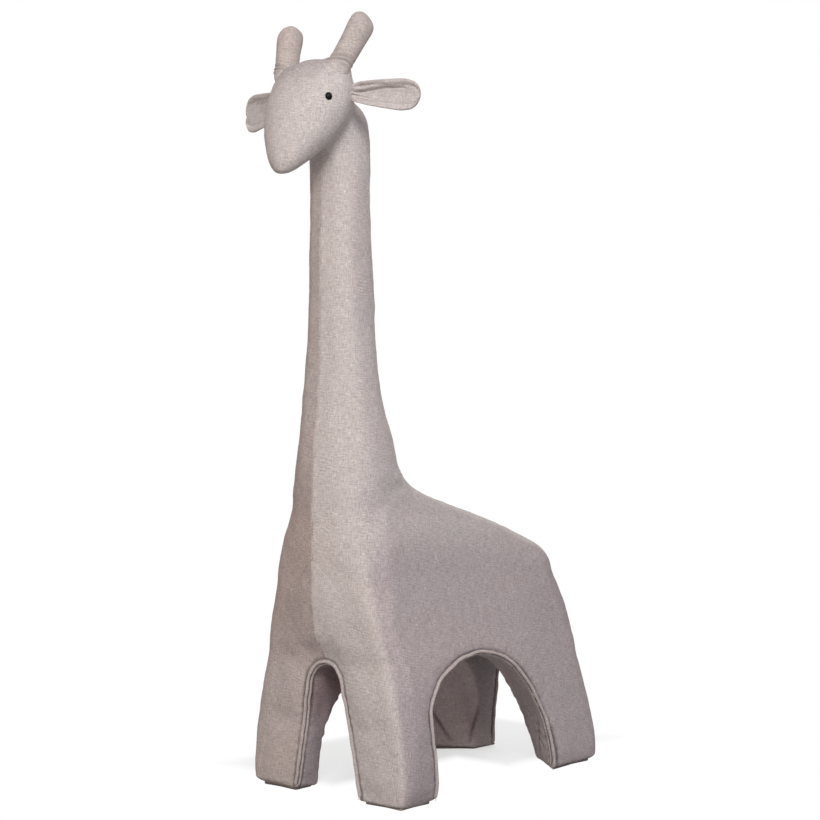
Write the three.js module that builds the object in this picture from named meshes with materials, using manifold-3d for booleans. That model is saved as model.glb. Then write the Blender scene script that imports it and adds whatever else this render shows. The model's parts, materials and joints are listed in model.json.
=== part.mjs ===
// A floor-standing plush giraffe: a firmly stuffed linen toy on four flat-soled legs.
// Millimetres, +Z up, facing -Y, origin on the floor under the middle of the toy.
import * as THREE from 'three';
import { mergeVertices } from 'three/addons/utils/BufferGeometryUtils.js';
import Module from 'manifold-3d';

const wasm = await Module();
wasm.setup();

// Points of one solid that lie closer together than this are one point
const weldDistance = 0.0001;

// Trunk: the sewn cover from the feet through the body to the top of the neck
const withersHeight = 478;
const throatHeight = 940;
const bodyWidth = 300;
const chestReach = 230;
const rumpReach = 304;
const neckWidth = 92;
const neckDepth = 100;
const seamRidge = 7;
const rumpHollow = 44;
const collarHeight = 412;
const chinHeight = 932;
const neckTilt = THREE.MathUtils.degToRad(20);
const throatTilt = THREE.MathUtils.degToRad(14.5);

// Each row: height, half width in front, half width behind, reach in front, reach behind, corner
// as shares of the withers' height, the body's width, the chest's and the rump's reach, the width
const bodyShares = [
  [0.000, 0.498, 0.466, 0.848, 0.987, 0.047],
  [0.063, 0.525, 0.473, 0.852, 1.000, 0.057],
  [0.126, 0.526, 0.473, 0.857, 0.987, 0.067],
  [0.209, 0.518, 0.470, 0.861, 0.964, 0.080],
  [0.314, 0.500, 0.467, 0.878, 0.928, 0.110],
  [0.418, 0.467, 0.457, 0.896, 0.905, 0.140],
  [0.502, 0.430, 0.437, 0.957, 0.905, 0.170],
  [0.586, 0.400, 0.413, 0.987, 0.888, 0.200],
  [0.669, 0.380, 0.383, 1.000, 0.862, 0.230],
  [0.711, 0.370, 0.370, 1.000, 0.845, 0.220],
  [0.753, 0.360, 0.350, 1.000, 0.795, 0.240],
  [0.795, 0.347, 0.323, 1.000, 0.665, 0.265],
  [0.837, 0.323, 0.300, 1.000, 0.507, 0.267],
  [0.879, 0.305, 0.278, 1.000, 0.306, 0.267],
  [0.921, 0.289, 0.268, 1.000, 0.080, 0.267],
  [0.962, 0.280, 0.264, 1.000, -0.115, 0.267],
];
// Each row: height, half width, reach in front, depth front to back
// as shares of the neck's length, the neck's width, the chest's reach, the neck's depth
const neckShares = [
  [0.000, 0.897, 1.000, 1.660],
  [0.048, 0.838, 0.995, 1.520],
  [0.134, 0.768, 0.980, 1.400],
  [0.221, 0.698, 0.962, 1.220],
  [0.307, 0.645, 0.949, 1.080],
  [0.394, 0.598, 0.940, 1.020],
  [0.481, 0.554, 0.936, 1.015],
  [0.589, 0.522, 0.935, 1.010],
  [0.697, 0.500, 0.935, 0.975],
  [0.805, 0.478, 0.930, 0.940],
  [0.913, 0.475, 0.928, 0.905],
  [1.000, 0.483, 0.928, 0.895],
  [1.087, 0.489, 0.930, 0.895],
  [1.152, 0.467, 0.920, 0.850],
  [1.206, 0.391, 0.904, 0.680],
  [1.238, 0.239, 0.852, 0.380],
];
const ridgeShares = [[0, 0], [0.36, 0], [0.5, 1], [1.6, 0.9], [1.9, 0.3], [2.3, 0]];
const hollowShares = [[0, 1], [0.14, 0.8], [0.32, 0.4], [0.5, 0.25], [0.7, 0]];
const ringSteps = 20;
const turnShare = 0.34;
const roundestShare = 0.96;

// Arches: one runs from chest to rump, one from side to side, wider between the legs
const aisleFoot = 130;
const aisleCrown = 66;
const aisleSpring = 165;
const aisleHeight = 201;
const sideHeight = 206;
const innerHalf = 58;
const archSteps = 9;
const overrun = 60;
// The side arch at the cover and between the legs. Each row: the front foot, where the front wall
// starts to round over, how high that is, the rear foot and how far the rear wall keeps its lean,
// as shares of the chest's reach, the chest's reach, the arch's height and, twice, the rump's reach
const outerArchShares = [0.504, 0.561, 0.6, 0.592, 0.355];
const innerArchShares = [0.657, 0.652, 0.3, 0.803, 0.722];
const rearCurveShares = [0.955, 0.39];
const roundShare = 0.55;

// Legs, soles and the boards that keep the feet flat
const legHeight = 185;
const seamGap = 0.3;
const soleThickness = 5;
const soleInset = 3;
const soleHem = 2;
const boardThickness = 6;
const boardInset = 11;

// Head: an egg that points forwards and down
const headLength = 197;
const headWidth = 132;
const headDepth = 100;
const headReach = 247.4;
const headHeight = 1011.8;
const headTilt = THREE.MathUtils.degToRad(59);
const taperShare = 0.4;
const headRings = 16;
const headSides = 28;
const nudgeShare = 0.01;

// Horns
const hornDiameter = 38;
const hornLength = 110;
const hornSpread = 47;
const hornReach = 236;
const hornRootHeight = 1069;
const hornLean = THREE.MathUtils.degToRad(18);
const hornRake = THREE.MathUtils.degToRad(24);
const hornSides = 14;
// Each row: distance along the horn, radius, as shares of its length and its radius
const hornShares = [
  [0.00, 0.90], [0.14, 0.96], [0.30, 0.93], [0.60, 0.98], [0.80, 1.00],
  [0.90, 0.93], [0.96, 0.74], [0.99, 0.45],
];

// Ears: gathered paddles with a hollow front
const earLength = 119;
const earWidth = 46;
const earThickness = 9;
const earHollow = 9;
const earRoot = 7;
const earInset = 10;
const earSweep = THREE.MathUtils.degToRad(11);
const earDroop = THREE.MathUtils.degToRad(8);
const earTurn = THREE.MathUtils.degToRad(-12);
const earSeatShare = -0.497;
// Each row: distance along the ear, width, thickness, hollow, as shares of those sizes
const earShares = [
  [0.00, 0.54, 1.30, 0.10],
  [0.08, 0.64, 1.35, 0.45],
  [0.20, 0.74, 1.25, 1.10],
  [0.38, 0.84, 1.05, 1.20],
  [0.58, 0.94, 1.00, 1.00],
  [0.76, 1.00, 1.00, 0.80],
  [0.88, 0.92, 0.95, 0.60],
  [0.95, 0.72, 0.85, 0.35],
  [0.99, 0.38, 0.60, 0.12],
];
const earSides = 6;
const pinSides = 20;

// Tail: a slim stuffed strip that hangs behind the rump
const tailLength = 176;
const tailWidth = 17;
const tailThickness = 11;
const tailHeight = 312;
const tailStandOff = 11;
const tailPlay = 0.5;
const tailSides = 10;
const tailSteps = 8;
// The tail's bend: how far behind the rump and below its root, as shares of how far it stands off
const tailBendShares = [[0.5, 0.15], [0.96, 0.9], [1, 2.2]];
// Each row: distance down the tail, width, thickness, as shares of those sizes
const tailShares = [
  [0.00, 0.80, 0.70], [0.06, 1.00, 0.95], [0.20, 0.95, 1.00], [0.45, 0.85, 0.90], [0.66, 0.82, 0.85],
  [0.80, 1.20, 1.05], [0.92, 1.30, 1.10], [0.98, 0.90, 0.80], [1.00, 0.45, 0.45],
];

// Eyes: safety eyes with a shank and a lock washer behind the cover
const eyeDiameter = 12;
const eyeRise = 4;
const eyeSink = 0.8;
const eyeShank = 4.4;
const eyeShankLength = 15;
const washerDiameter = 18;
const washerThickness = 2.4;
const coverThickness = 4;
const eyePlay = 0.15;
const eyeTurn = THREE.MathUtils.degToRad(25);
const eyeShare = -0.1735;
const eyeSides = 12;
const domeSteps = 4;

// Frame inside: a post up the neck, a spine and two leg hoops, held in two clamps
const postDiameter = 12;
const rodDiameter = 10;
const postSink = 5.5;
const hoopHeight = 270;
const spineHeight = 290;
const hoopBend = 34;
const hoopLift = 1.6;
const hoopShoulderShare = 0.72;
// Where the post and the hoops stand, as shares of the chest's and the rump's reach
const postShare = 0.748;
const frontHoopShare = 0.643;
const rearHoopShare = 0.674;
const hoopSteps = 26;
const clampWidth = 36;
const clampWall = 9;
const capDiameter = 26;
const capHeight = 16;
// Each row: radius and height on the cap, as shares of its own
const capShares = [[0.85, 0], [1, 0.5], [0.8, 0.88], [0.4, 1], [0, 1]];
const framePlay = 0.4;
const rodSides = 8;

// Finishes
const linen = { color: 0xb9adaa, roughness: 0.95, metalness: 0 };
const lining = { color: 0xaa9c97, roughness: 0.95, metalness: 0 };
const ply = { color: 0xc9a878, roughness: 0.7, metalness: 0 };
const steel = { color: 0x9a9da0, roughness: 0.35, metalness: 0.9 };
const nylon = { color: 0x2b2b2d, roughness: 0.5, metalness: 0 };
const bead = { color: 0x0b0b0c, roughness: 0.12, metalness: 0 };

// Turns a three.js geometry into a solid that can be joined and cut
function solidOf(geometry) {
  geometry.deleteAttribute('normal');
  geometry.deleteAttribute('uv');
  const merged = mergeVertices(geometry, weldDistance);
  return new wasm.Manifold(new wasm.Mesh({
    numProp: 3,
    vertProperties: new Float32Array(merged.attributes.position.array),
    triVerts: new Uint32Array(merged.index.array),
  }));
}

// Turns a solid back into a three.js geometry
function geometryOf(solid) {
  const mesh = solid.getMesh();
  const geometry = new THREE.BufferGeometry();
  const points = new THREE.BufferAttribute(new Float32Array(mesh.vertProperties), 3);
  geometry.setAttribute('position', points);
  geometry.setIndex(new THREE.BufferAttribute(new Uint32Array(mesh.triVerts), 1));
  geometry.computeVertexNormals();
  return geometry;
}

// Skins a row of closed rings, each with as many points, and closes both ends
function loft(rings) {
  const sides = rings[0].length;
  const points = rings.flat();
  const index = [];
  for (let row = 0; row < rings.length - 1; row++) {
    for (let side = 0; side < sides; side++) {
      const here = row * sides + side;
      const next = row * sides + ((side + 1) % sides);
      index.push(here, next, next + sides, here, next + sides, here + sides);
    }
  }
  const ends = [rings[0], rings[rings.length - 1]];
  ends.forEach((ring, end) => {
    const middle = new THREE.Vector3();
    ring.forEach((point) => middle.addScaledVector(point, 1 / sides));
    const first = end === 0 ? 0 : points.length - 1 - sides;
    points.push(middle);
    for (let side = 0; side < sides; side++) {
      const here = first + side;
      const next = first + ((side + 1) % sides);
      index.push(...(end === 0 ? [points.length - 1, next, here] : [points.length - 1, here, next]));
    }
  });
  const geometry = new THREE.BufferGeometry().setFromPoints(points);
  geometry.setIndex(index);
  const solid = solidOf(geometry);
  return solid.volume() > 0 ? solid : solidOf(flipped(geometry));
}

// The same surface with its faces turned round
function flipped(geometry) {
  const index = Array.from(geometry.index.array);
  for (let corner = 0; corner < index.length; corner += 3) {
    [index[corner + 1], index[corner + 2]] = [index[corner + 2], index[corner + 1]];
  }
  return geometry.clone().setIndex(index);
}

// Reads a table of shares at one place, in straight lines between its rows
function readShares(table, at) {
  const last = table.findIndex((row) => row[0] >= at);
  if (last <= 0) return (last === 0 ? table[0] : table[table.length - 1]).slice(1);
  const [low, high] = [table[last - 1], table[last]];
  const mix = (at - low[0]) / (high[0] - low[0]);
  return low.slice(1).map((value, column) => THREE.MathUtils.lerp(value, high[column + 1], mix));
}

// Half an outline of the trunk, from the middle of the front round to the middle of the back
function halfOutline({ front, back, frontHalf, backHalf, corner, hollow }) {
  const half = Math.min(frontHalf, backHalf);
  const radius = Math.min(corner, roundestShare * half, roundestShare * (back - front) / 2);
  const path = new THREE.CurvePath();
  const frontEnd = new THREE.Vector2(frontHalf - radius, front);
  const sideStart = new THREE.Vector2(frontHalf, front + radius);
  const sideEnd = new THREE.Vector2(backHalf, back - radius);
  const backStart = new THREE.Vector2(backHalf - radius, back);
  const quarter = Math.PI / 2;
  path.add(new THREE.LineCurve(new THREE.Vector2(0, front), frontEnd));
  path.add(new THREE.EllipseCurve(frontEnd.x, sideStart.y, radius, radius, -quarter, 0));
  path.add(new THREE.LineCurve(sideStart, sideEnd));
  path.add(new THREE.EllipseCurve(backStart.x, sideEnd.y, radius, radius, 0, quarter));
  path.add(new THREE.LineCurve(backStart, new THREE.Vector2(0, back - hollow)));
  return path;
}

// Spaces points along half an outline, closer together where it turns
function spacePoints(path) {
  const dense = path.curves.flatMap((curve, part) => curve.getPoints(ringSteps).slice(part ? 1 : 0));
  const cost = [0];
  for (let i = 1; i < dense.length; i++) {
    const step = dense[i].clone().sub(dense[i - 1]);
    const before = i > 1 ? dense[i - 1].clone().sub(dense[i - 2]) : step;
    const turn = Math.abs(Math.atan2(step.cross(before), step.dot(before)));
    cost.push(cost[i - 1] + step.length() + turn * turnShare * bodyWidth);
  }
  const spaced = [];
  let at = 0;
  for (let i = 0; i <= ringSteps; i++) {
    const goal = cost[cost.length - 1] * i / ringSteps;
    while (at < cost.length - 2 && cost[at + 1] < goal) at++;
    const mix = THREE.MathUtils.clamp((goal - cost[at]) / (cost[at + 1] - cost[at]), 0, 1);
    spaced.push(dense[at].clone().lerp(dense[at + 1], mix));
  }
  return spaced;
}

// One closed ring of the trunk, with the ridge of the centre seam in front
function trunkRing(height, size) {
  const side = spacePoints(halfOutline(size));
  const [ridgeShare] = readShares(ridgeShares, height / withersHeight);
  const lifted = side.map(({ x, y }) => {
    const near = Math.max(0, 1 - x / size.frontHalf);
    const infront = y < (size.front + size.back) / 2 ? 1 : 0;
    return new THREE.Vector3(x, y - infront * seamRidge * ridgeShare * near * near, height);
  });
  const mirror = lifted.slice(1, -1).reverse().map(({ x, y, z }) => new THREE.Vector3(-x, y, z));
  return [...lifted, ...mirror];
}

// The whole trunk, from the floor to the rounded top of the neck
function makeTrunk() {
  const neckLength = throatHeight - withersHeight;
  const body = bodyShares.map(([at, frontHalf, backHalf, front, back, corner]) => (
    trunkRing(at * withersHeight, {
      front: -front * chestReach,
      back: back * rumpReach,
      frontHalf: frontHalf * bodyWidth,
      backHalf: backHalf * bodyWidth,
      corner: corner * bodyWidth,
      hollow: readShares(hollowShares, at)[0] * rumpHollow,
    })));
  const neck = neckShares.map(([at, half, front, depth]) => (
    trunkRing(withersHeight + at * neckLength, {
      front: -front * chestReach,
      back: -front * chestReach + depth * neckDepth,
      frontHalf: half * neckWidth,
      backHalf: half * neckWidth,
      corner: neckDepth,
      hollow: 0,
    })));
  return loft([...body, ...neck]);
}

// The tunnel from chest to rump: leaning walls under a round crown
function makeAisle() {
  const arch = new THREE.Shape();
  arch.moveTo(-aisleFoot / 2, 0);
  arch.lineTo(-aisleFoot / 2, -overrun);
  arch.lineTo(aisleFoot / 2, -overrun);
  arch.lineTo(aisleFoot / 2, 0);
  arch.lineTo(aisleCrown / 2, aisleSpring);
  arch.absellipse(0, aisleSpring, aisleCrown / 2, aisleHeight - aisleSpring, 0, Math.PI, false, 0);
  arch.closePath();
  const depth = chestReach + rumpReach + 2 * overrun;
  const shape = { depth, bevelEnabled: false, curveSegments: archSteps };
  const geometry = new THREE.ExtrudeGeometry(arch, shape);
  geometry.rotateX(Math.PI / 2);
  geometry.translate(0, rumpReach + overrun, 0);
  return solidOf(geometry);
}

// The outline of the side arch, at the cover's outside or between the legs
function sideArch([footShare, springShare, riseShare, heelShare, leanShare]) {
  const [front, rear] = [footShare * chestReach, heelShare * rumpReach];
  const [spring, lean] = [springShare * chestReach, leanShare * rumpReach];
  const rise = riseShare * sideHeight;
  const [waistShare, kneeShare] = rearCurveShares;
  const path = new THREE.Path();
  path.moveTo(rear, -overrun);
  path.lineTo(rear, 0);
  path.bezierCurveTo(rear * waistShare, sideHeight * kneeShare, lean, sideHeight, 0, sideHeight);
  path.bezierCurveTo(
    -spring * roundShare, sideHeight,
    -spring, rise + (sideHeight - rise) * roundShare,
    -spring, rise,
  );
  path.lineTo(-front, 0);
  path.lineTo(-front, -overrun);
  return path.getPoints(archSteps);
}

// The tunnel from side to side: its walls slant apart between the legs
function makeVault() {
  const [outside, inside] = [sideArch(outerArchShares), sideArch(innerArchShares)];
  const side = bodyShares[0][2] * bodyWidth;
  const far = bodyWidth / 2 + overrun;
  const stations = [
    [-far, outside],
    [-side, outside],
    [-innerHalf, inside],
    [innerHalf, inside],
    [side, outside],
    [far, outside],
  ];
  const rings = stations.map(([x, outline]) => (
    outline.map((point) => new THREE.Vector3(x, point.x, point.y))));
  return loft(rings);
}

// A point on the head's egg: along is -1 at the crown and 1 at the muzzle, turn goes round it
function headPoint(along, turn, grow = 0) {
  const swell = Math.sqrt(1 - along * along) * (1 - taperShare * along);
  const forward = new THREE.Vector3(0, -Math.cos(headTilt), -Math.sin(headTilt));
  const brow = new THREE.Vector3(0, -Math.sin(headTilt), Math.cos(headTilt));
  return new THREE.Vector3(0, -headReach, headHeight)
    .addScaledVector(forward, along * (headLength / 2 + grow))
    .addScaledVector(new THREE.Vector3(1, 0, 0), Math.cos(turn) * swell * (headWidth / 2 + grow))
    .addScaledVector(brow, Math.sin(turn) * swell * (headDepth / 2 + grow));
}

// A place on the head, mirrored to one side, and the way that the head looks there
function headSeat(along, turn, side) {
  const place = headPoint(along, turn);
  const down = headPoint(along + nudgeShare, turn).sub(place);
  const round = headPoint(along, turn + nudgeShare).sub(place);
  const look = new THREE.Vector3().crossVectors(round, down).normalize();
  if (look.x < 0) look.negate();
  place.x *= side;
  look.x *= side;
  return { place, look };
}

// The head's egg, grown by a clearance where it cuts its neighbours
function makeEgg(grow = 0) {
  const rings = [];
  for (let row = 0; row < headRings; row++) {
    const along = -Math.cos(Math.PI * (row + 0.5) / headRings);
    const ring = [];
    for (let side = 0; side < headSides; side++) {
      ring.push(headPoint(along, 2 * Math.PI * side / headSides, grow));
    }
    rings.push(ring);
  }
  return loft(rings);
}

// Turns a lathe's axis towards a direction and moves its foot to a place
function stand(geometry, place, direction) {
  const up = new THREE.Vector3(0, 1, 0);
  const towards = direction.clone().normalize();
  geometry.applyQuaternion(new THREE.Quaternion().setFromUnitVectors(up, towards));
  geometry.translate(place.x, place.y, place.z);
  return geometry;
}

// A solid of revolution from pairs of radius and height
function turned(profile, sides) {
  const points = profile.map(([radius, height]) => new THREE.Vector2(radius, height));
  return new THREE.LatheGeometry(points, sides);
}

// One horn: a stuffed finger that leans out and back
function makeHorn(side) {
  const radius = hornDiameter / 2;
  const profile = hornShares.map(([at, width]) => [width * radius, at * hornLength]);
  const geometry = turned([[0, 0], ...profile, [0, hornLength]], hornSides);
  const direction = new THREE.Vector3(side * Math.tan(hornLean), Math.tan(hornRake), 1);
  const root = new THREE.Vector3(side * hornSpread, -hornReach, hornRootHeight);
  return solidOf(stand(geometry, root, direction));
}

// The line that an ear turns on, square to the way that the head looks there
function earHinge(side) {
  const { place, look } = headSeat(earSeatShare, earTurn, side);
  const axis = new THREE.Vector3(0, 0, 1).addScaledVector(look, -look.z).normalize();
  return { place: place.addScaledVector(look, earRoot), look, axis };
}

// One ear: a paddle of bent, lens-shaped sections, rounded off at the line that it turns on
function makeEar(side) {
  const { place, look, axis } = earHinge(side);
  const along = new THREE.Vector3(
    side * Math.cos(earSweep) * Math.cos(earDroop),
    Math.sin(earSweep) * Math.cos(earDroop),
    -Math.sin(earDroop),
  );
  const root = place.clone().addScaledVector(along, -earInset);
  const across = new THREE.Vector3(0, 0, 1).addScaledVector(along, -along.z).normalize();
  const facing = new THREE.Vector3().crossVectors(along, across).multiplyScalar(side);
  const rings = earShares.map(([at, width, thickness, hollow]) => {
    const ring = [];
    for (let step = 0; step < 2 * earSides; step++) {
      const turn = Math.PI * (step + 0.5) / earSides;
      const bend = earHollow * hollow * (Math.cos(turn) ** 2 - 0.5);
      ring.push(root.clone()
        .addScaledVector(along, at * earLength)
        .addScaledVector(across, Math.cos(turn) * width * earWidth / 2)
        .addScaledVector(facing, Math.sin(turn) * thickness * earThickness / 2 + bend));
    }
    return ring;
  });
  const paddle = loft(rings);
  const pin = new THREE.CylinderGeometry(earRoot, earRoot, 2 * earWidth, pinSides);
  const rounded = paddle.intersect(solidOf(stand(pin, place, axis)));
  return paddle.trimByPlane(look.toArray(), look.dot(place)).add(rounded);
}

// How far back the middle of the rump reaches at a height
function rumpMiddle(height) {
  const at = height / withersHeight;
  return readShares(bodyShares, at)[3] * rumpReach - readShares(hollowShares, at)[0] * rumpHollow;
}

// The tail: it leaves the rump, turns down and hangs clear of what lies below
function makeTail() {
  const root = rumpMiddle(tailHeight);
  let rump = root;
  for (let step = 1; step <= tailSteps; step++) {
    rump = Math.max(rump, rumpMiddle(tailHeight - tailLength * step / tailSteps));
  }
  const path = new THREE.CatmullRomCurve3([
    new THREE.Vector3(0, root - tailThickness / 2, tailHeight),
    ...tailBendShares.map(([behind, below]) => (
      new THREE.Vector3(0, rump + behind * tailStandOff, tailHeight - below * tailStandOff))),
    new THREE.Vector3(0, rump + tailStandOff, tailHeight - tailLength / 2),
    new THREE.Vector3(0, rump + tailStandOff, tailHeight - tailLength),
  ]);
  const aside = new THREE.Vector3(1, 0, 0);
  const rings = tailShares.map(([at, width, thickness]) => {
    const middle = path.getPointAt(at);
    const outward = new THREE.Vector3().crossVectors(path.getTangentAt(at), aside).normalize();
    const ring = [];
    for (let side = 0; side < tailSides; side++) {
      const turn = 2 * Math.PI * side / tailSides;
      ring.push(middle.clone()
        .addScaledVector(aside, Math.cos(turn) * width * tailWidth / 2)
        .addScaledVector(outward, Math.sin(turn) * thickness * tailThickness / 2));
    }
    return ring;
  });
  return loft(rings);
}

// Where an eye sits, and which way it looks
function eyeSeat(side) {
  const { place, look } = headSeat(eyeShare, eyeTurn, side);
  return { place: place.addScaledVector(look, -eyeSink), look };
}

// A safety eye: domed bead, flat back and a shank, grown where it cuts the head
function makeEye(side, grow = 0) {
  const { place, look } = eyeSeat(side);
  const [radius, shank] = [eyeDiameter / 2 + grow, eyeShank / 2 + grow];
  const dome = [];
  for (let step = 0; step < domeSteps; step++) {
    const rise = Math.PI / 2 * step / domeSteps;
    dome.push([Math.cos(rise) * radius, Math.sin(rise) * eyeRise]);
  }
  dome.push([0, eyeRise]);
  const foot = -eyeShankLength - grow;
  const profile = [[0, foot], [shank, foot], [shank, -grow], [radius, -grow], ...dome];
  return solidOf(stand(turned(profile, eyeSides), place, look));
}

// The lock washer pressed on the shank, behind the cover
function makeWasher(side) {
  const { place, look } = eyeSeat(side);
  const [bore, rim] = [eyeShank / 2 + eyePlay, washerDiameter / 2];
  const [top, foot] = [-coverThickness, -coverThickness - washerThickness];
  const profile = [[bore, foot], [rim, foot], [rim, top], [bore, top], [bore, foot]];
  return solidOf(stand(turned(profile, eyeSides), place, look));
}

// The room that the lock washer takes in the head
function makeWasherRoom(side) {
  const { place, look } = eyeSeat(side);
  const rim = washerDiameter / 2 + seamGap;
  const [top, foot] = [seamGap - coverThickness, -coverThickness - washerThickness - seamGap];
  const profile = [[0, foot], [rim, foot], [rim, top], [0, top]];
  return solidOf(stand(turned(profile, eyeSides), place, look));
}

// The four corners of a foot, seen from above, drawn in by a border
function footOutline(end, border) {
  const [, frontHalf, rearHalf, chestShare, rumpShare] = bodyShares[0];
  const [toe, heel] = [-chestShare * chestReach, rumpShare * rumpReach];
  const inner = aisleFoot / 2;
  const corners = end === 'front'
    ? [[frontHalf * bodyWidth, toe], [frontHalf * bodyWidth, -outerArchShares[0] * chestReach],
      [inner, -innerArchShares[0] * chestReach], [inner, toe]]
    : [[rearHalf * bodyWidth, outerArchShares[3] * rumpReach], [rearHalf * bodyWidth, heel],
      [inner, heel], [inner, innerArchShares[3] * rumpReach]];
  const points = corners.map(([x, y]) => new THREE.Vector2(x, y));
  return points.map((point, i) => {
    const before = point.clone().sub(points[(i + 3) % 4]).normalize();
    const after = points[(i + 1) % 4].clone().sub(point).normalize();
    const spread = before.cross(after);
    return point.clone().addScaledVector(after.sub(before), border / spread);
  });
}

// A flat plate in the shape of a foot, with its lower edge rounded if it has a hem
function makePlate(end, side, { border, foot, thickness, hem = 0 }) {
  const outline = footOutline(end, border + hem).map(({ x, y }) => new THREE.Vector2(side * x, y));
  const geometry = new THREE.ExtrudeGeometry(new THREE.Shape(outline), {
    depth: thickness - hem,
    bevelEnabled: hem > 0,
    bevelThickness: hem,
    bevelSize: hem,
    bevelSegments: 2,
  });
  geometry.translate(0, 0, foot + hem);
  const plate = solidOf(geometry);
  return hem > 0 ? plate.trimByPlane([0, 0, -1], -foot - thickness) : plate;
}

// How far forwards or back a hoop stands
function hoopReach(end) {
  return end === 'front' ? -frontHoopShare * chestReach : rearHoopShare * rumpReach;
}

// The middle of a foot, seen from above
function footMiddle(end) {
  return footOutline(end, 0).reduce((sum, point) => sum.add(point), new THREE.Vector2()).divideScalar(4);
}

// A hoop of rod up one leg, across the body and down the other leg
function makeHoop(end, grow = 0) {
  const middle = footMiddle(end);
  const reach = hoopReach(end);
  const shoulder = middle.x * hoopShoulderShare;
  const foot = new THREE.Vector3(middle.x, middle.y, soleThickness + hoopLift - grow);
  const corner = new THREE.Vector3(shoulder, reach, hoopHeight);
  const down = foot.clone().sub(corner).normalize();
  const bendStart = corner.clone().addScaledVector(down, hoopBend);
  const bendEnd = corner.clone().setX(shoulder - hoopBend);
  const mirror = ({ x, y, z }) => new THREE.Vector3(-x, y, z);
  const path = new THREE.CurvePath();
  path.add(new THREE.LineCurve3(foot, bendStart));
  path.add(new THREE.QuadraticBezierCurve3(bendStart, corner, bendEnd));
  path.add(new THREE.LineCurve3(bendEnd, mirror(bendEnd)));
  path.add(new THREE.QuadraticBezierCurve3(mirror(bendEnd), mirror(corner), mirror(bendStart)));
  path.add(new THREE.LineCurve3(mirror(bendStart), mirror(foot)));
  const section = new THREE.Shape().absarc(0, 0, rodDiameter / 2 + grow, 0, 2 * Math.PI);
  const sweep = { steps: hoopSteps, curveSegments: rodSides / 2, bevelEnabled: false, extrudePath: path };
  return solidOf(new THREE.ExtrudeGeometry(section, sweep));
}

// Where the post ends, just below the middle of the head
function postTop() {
  return headHeight - postSink;
}

// The post up the neck, from the front clamp into the head
function makePost(grow = 0) {
  const foot = hoopHeight - rodDiameter / 2 - clampWall;
  const height = postTop() - foot + 2 * grow;
  const radius = postDiameter / 2 + grow;
  const geometry = new THREE.CylinderGeometry(radius, radius, height, rodSides);
  geometry.rotateX(Math.PI / 2);
  geometry.translate(0, -postShare * chestReach, foot - grow + height / 2);
  return solidOf(geometry);
}

// The spine, from the post back over the rear hoop
function makeSpine(grow = 0) {
  const front = postDiameter / 2 - postShare * chestReach + seamGap + framePlay;
  const back = hoopReach('rear') + rodDiameter / 2 + clampWall;
  const length = back - front + 2 * grow;
  const radius = rodDiameter / 2 + grow;
  const geometry = new THREE.CylinderGeometry(radius, radius, length, rodSides);
  geometry.translate(0, (front + back) / 2, spineHeight);
  return solidOf(geometry);
}

// A clamp block round the crossing of the spine and a hoop
function makeClamp(end, grow = 0) {
  const reach = hoopReach(end);
  const back = reach + rodDiameter / 2 + clampWall + grow;
  const front = end === 'front'
    ? -postShare * chestReach - postDiameter / 2 - clampWall - grow
    : reach - rodDiameter / 2 - clampWall - grow;
  const foot = hoopHeight - rodDiameter / 2 - clampWall - grow;
  const top = spineHeight + rodDiameter / 2 + clampWall + grow;
  const geometry = new THREE.BoxGeometry(clampWidth + 2 * grow, back - front, top - foot);
  geometry.translate(0, (front + back) / 2, (foot + top) / 2);
  return solidOf(geometry);
}

// The cap that keeps the post's end from working through the head
function makeCap(grow = 0) {
  const [rim, bore] = [capDiameter / 2 + grow, postDiameter / 2 + framePlay];
  const [foot, height] = [postTop() - capHeight / 2 - grow, capHeight + 2 * grow];
  const socket = [[0, postTop() + framePlay], [bore, postTop() + framePlay], [bore, foot]];
  const outside = capShares.map(([width, rise]) => [width * rim, foot + rise * height]);
  const geometry = turned([...(grow ? [[0, foot]] : socket), ...outside], rodSides);
  const place = new THREE.Vector3(0, -postShare * chestReach, 0);
  return solidOf(stand(geometry, place, new THREE.Vector3(0, 0, 1)));
}

// Cuts away what lies behind a slanted seam plane; up keeps the part above it
function seamCut(solid, height, tilt, up) {
  const normal = new THREE.Vector3(0, -Math.sin(tilt), Math.cos(tilt)).multiplyScalar(up ? 1 : -1);
  const onPlane = new THREE.Vector3(0, -chestReach, height);
  return solid.trimByPlane(normal.toArray(), normal.dot(onPlane) + seamGap / 2);
}

// Cuts several solids away from one
function cutAll(solid, ...cutters) {
  return cutters.reduce((rest, cutter) => rest.subtract(cutter), solid);
}

const group = new THREE.Group();
group.name = 'plush_giraffe';

// Adds one finished piece under the name that a maker would use
function addPiece(name, solid, finish) {
  const mesh = new THREE.Mesh(geometryOf(solid), new THREE.MeshStandardMaterial(finish));
  mesh.name = name;
  group.add(mesh);
}

const sides = { left: 1, right: -1 };
const trunk = makeTrunk();
const arches = makeAisle().add(makeVault());
const hoops = { front: makeHoop('front'), rear: makeHoop('rear') };
const hoopRoom = makeHoop('front', framePlay).add(makeHoop('rear', framePlay));
const postRoom = makePost(framePlay);
const spineRoom = makeSpine(framePlay);

// Body and neck, cut from the trunk at the slanted seam under the neck
const standing = trunk.subtract(arches);
const barrel = standing.trimByPlane([0, 0, 1], legHeight + seamGap / 2);
const body = seamCut(barrel, collarHeight, neckTilt, false);
const clampRoom = makeClamp('front', framePlay).add(makeClamp('rear', framePlay));
addPiece('body', cutAll(body, hoopRoom, postRoom, spineRoom, clampRoom), linen);
const neck = seamCut(seamCut(trunk, collarHeight, neckTilt, true), chinHeight, throatTilt, false);
addPiece('neck', neck.subtract(postRoom), linen);

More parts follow.
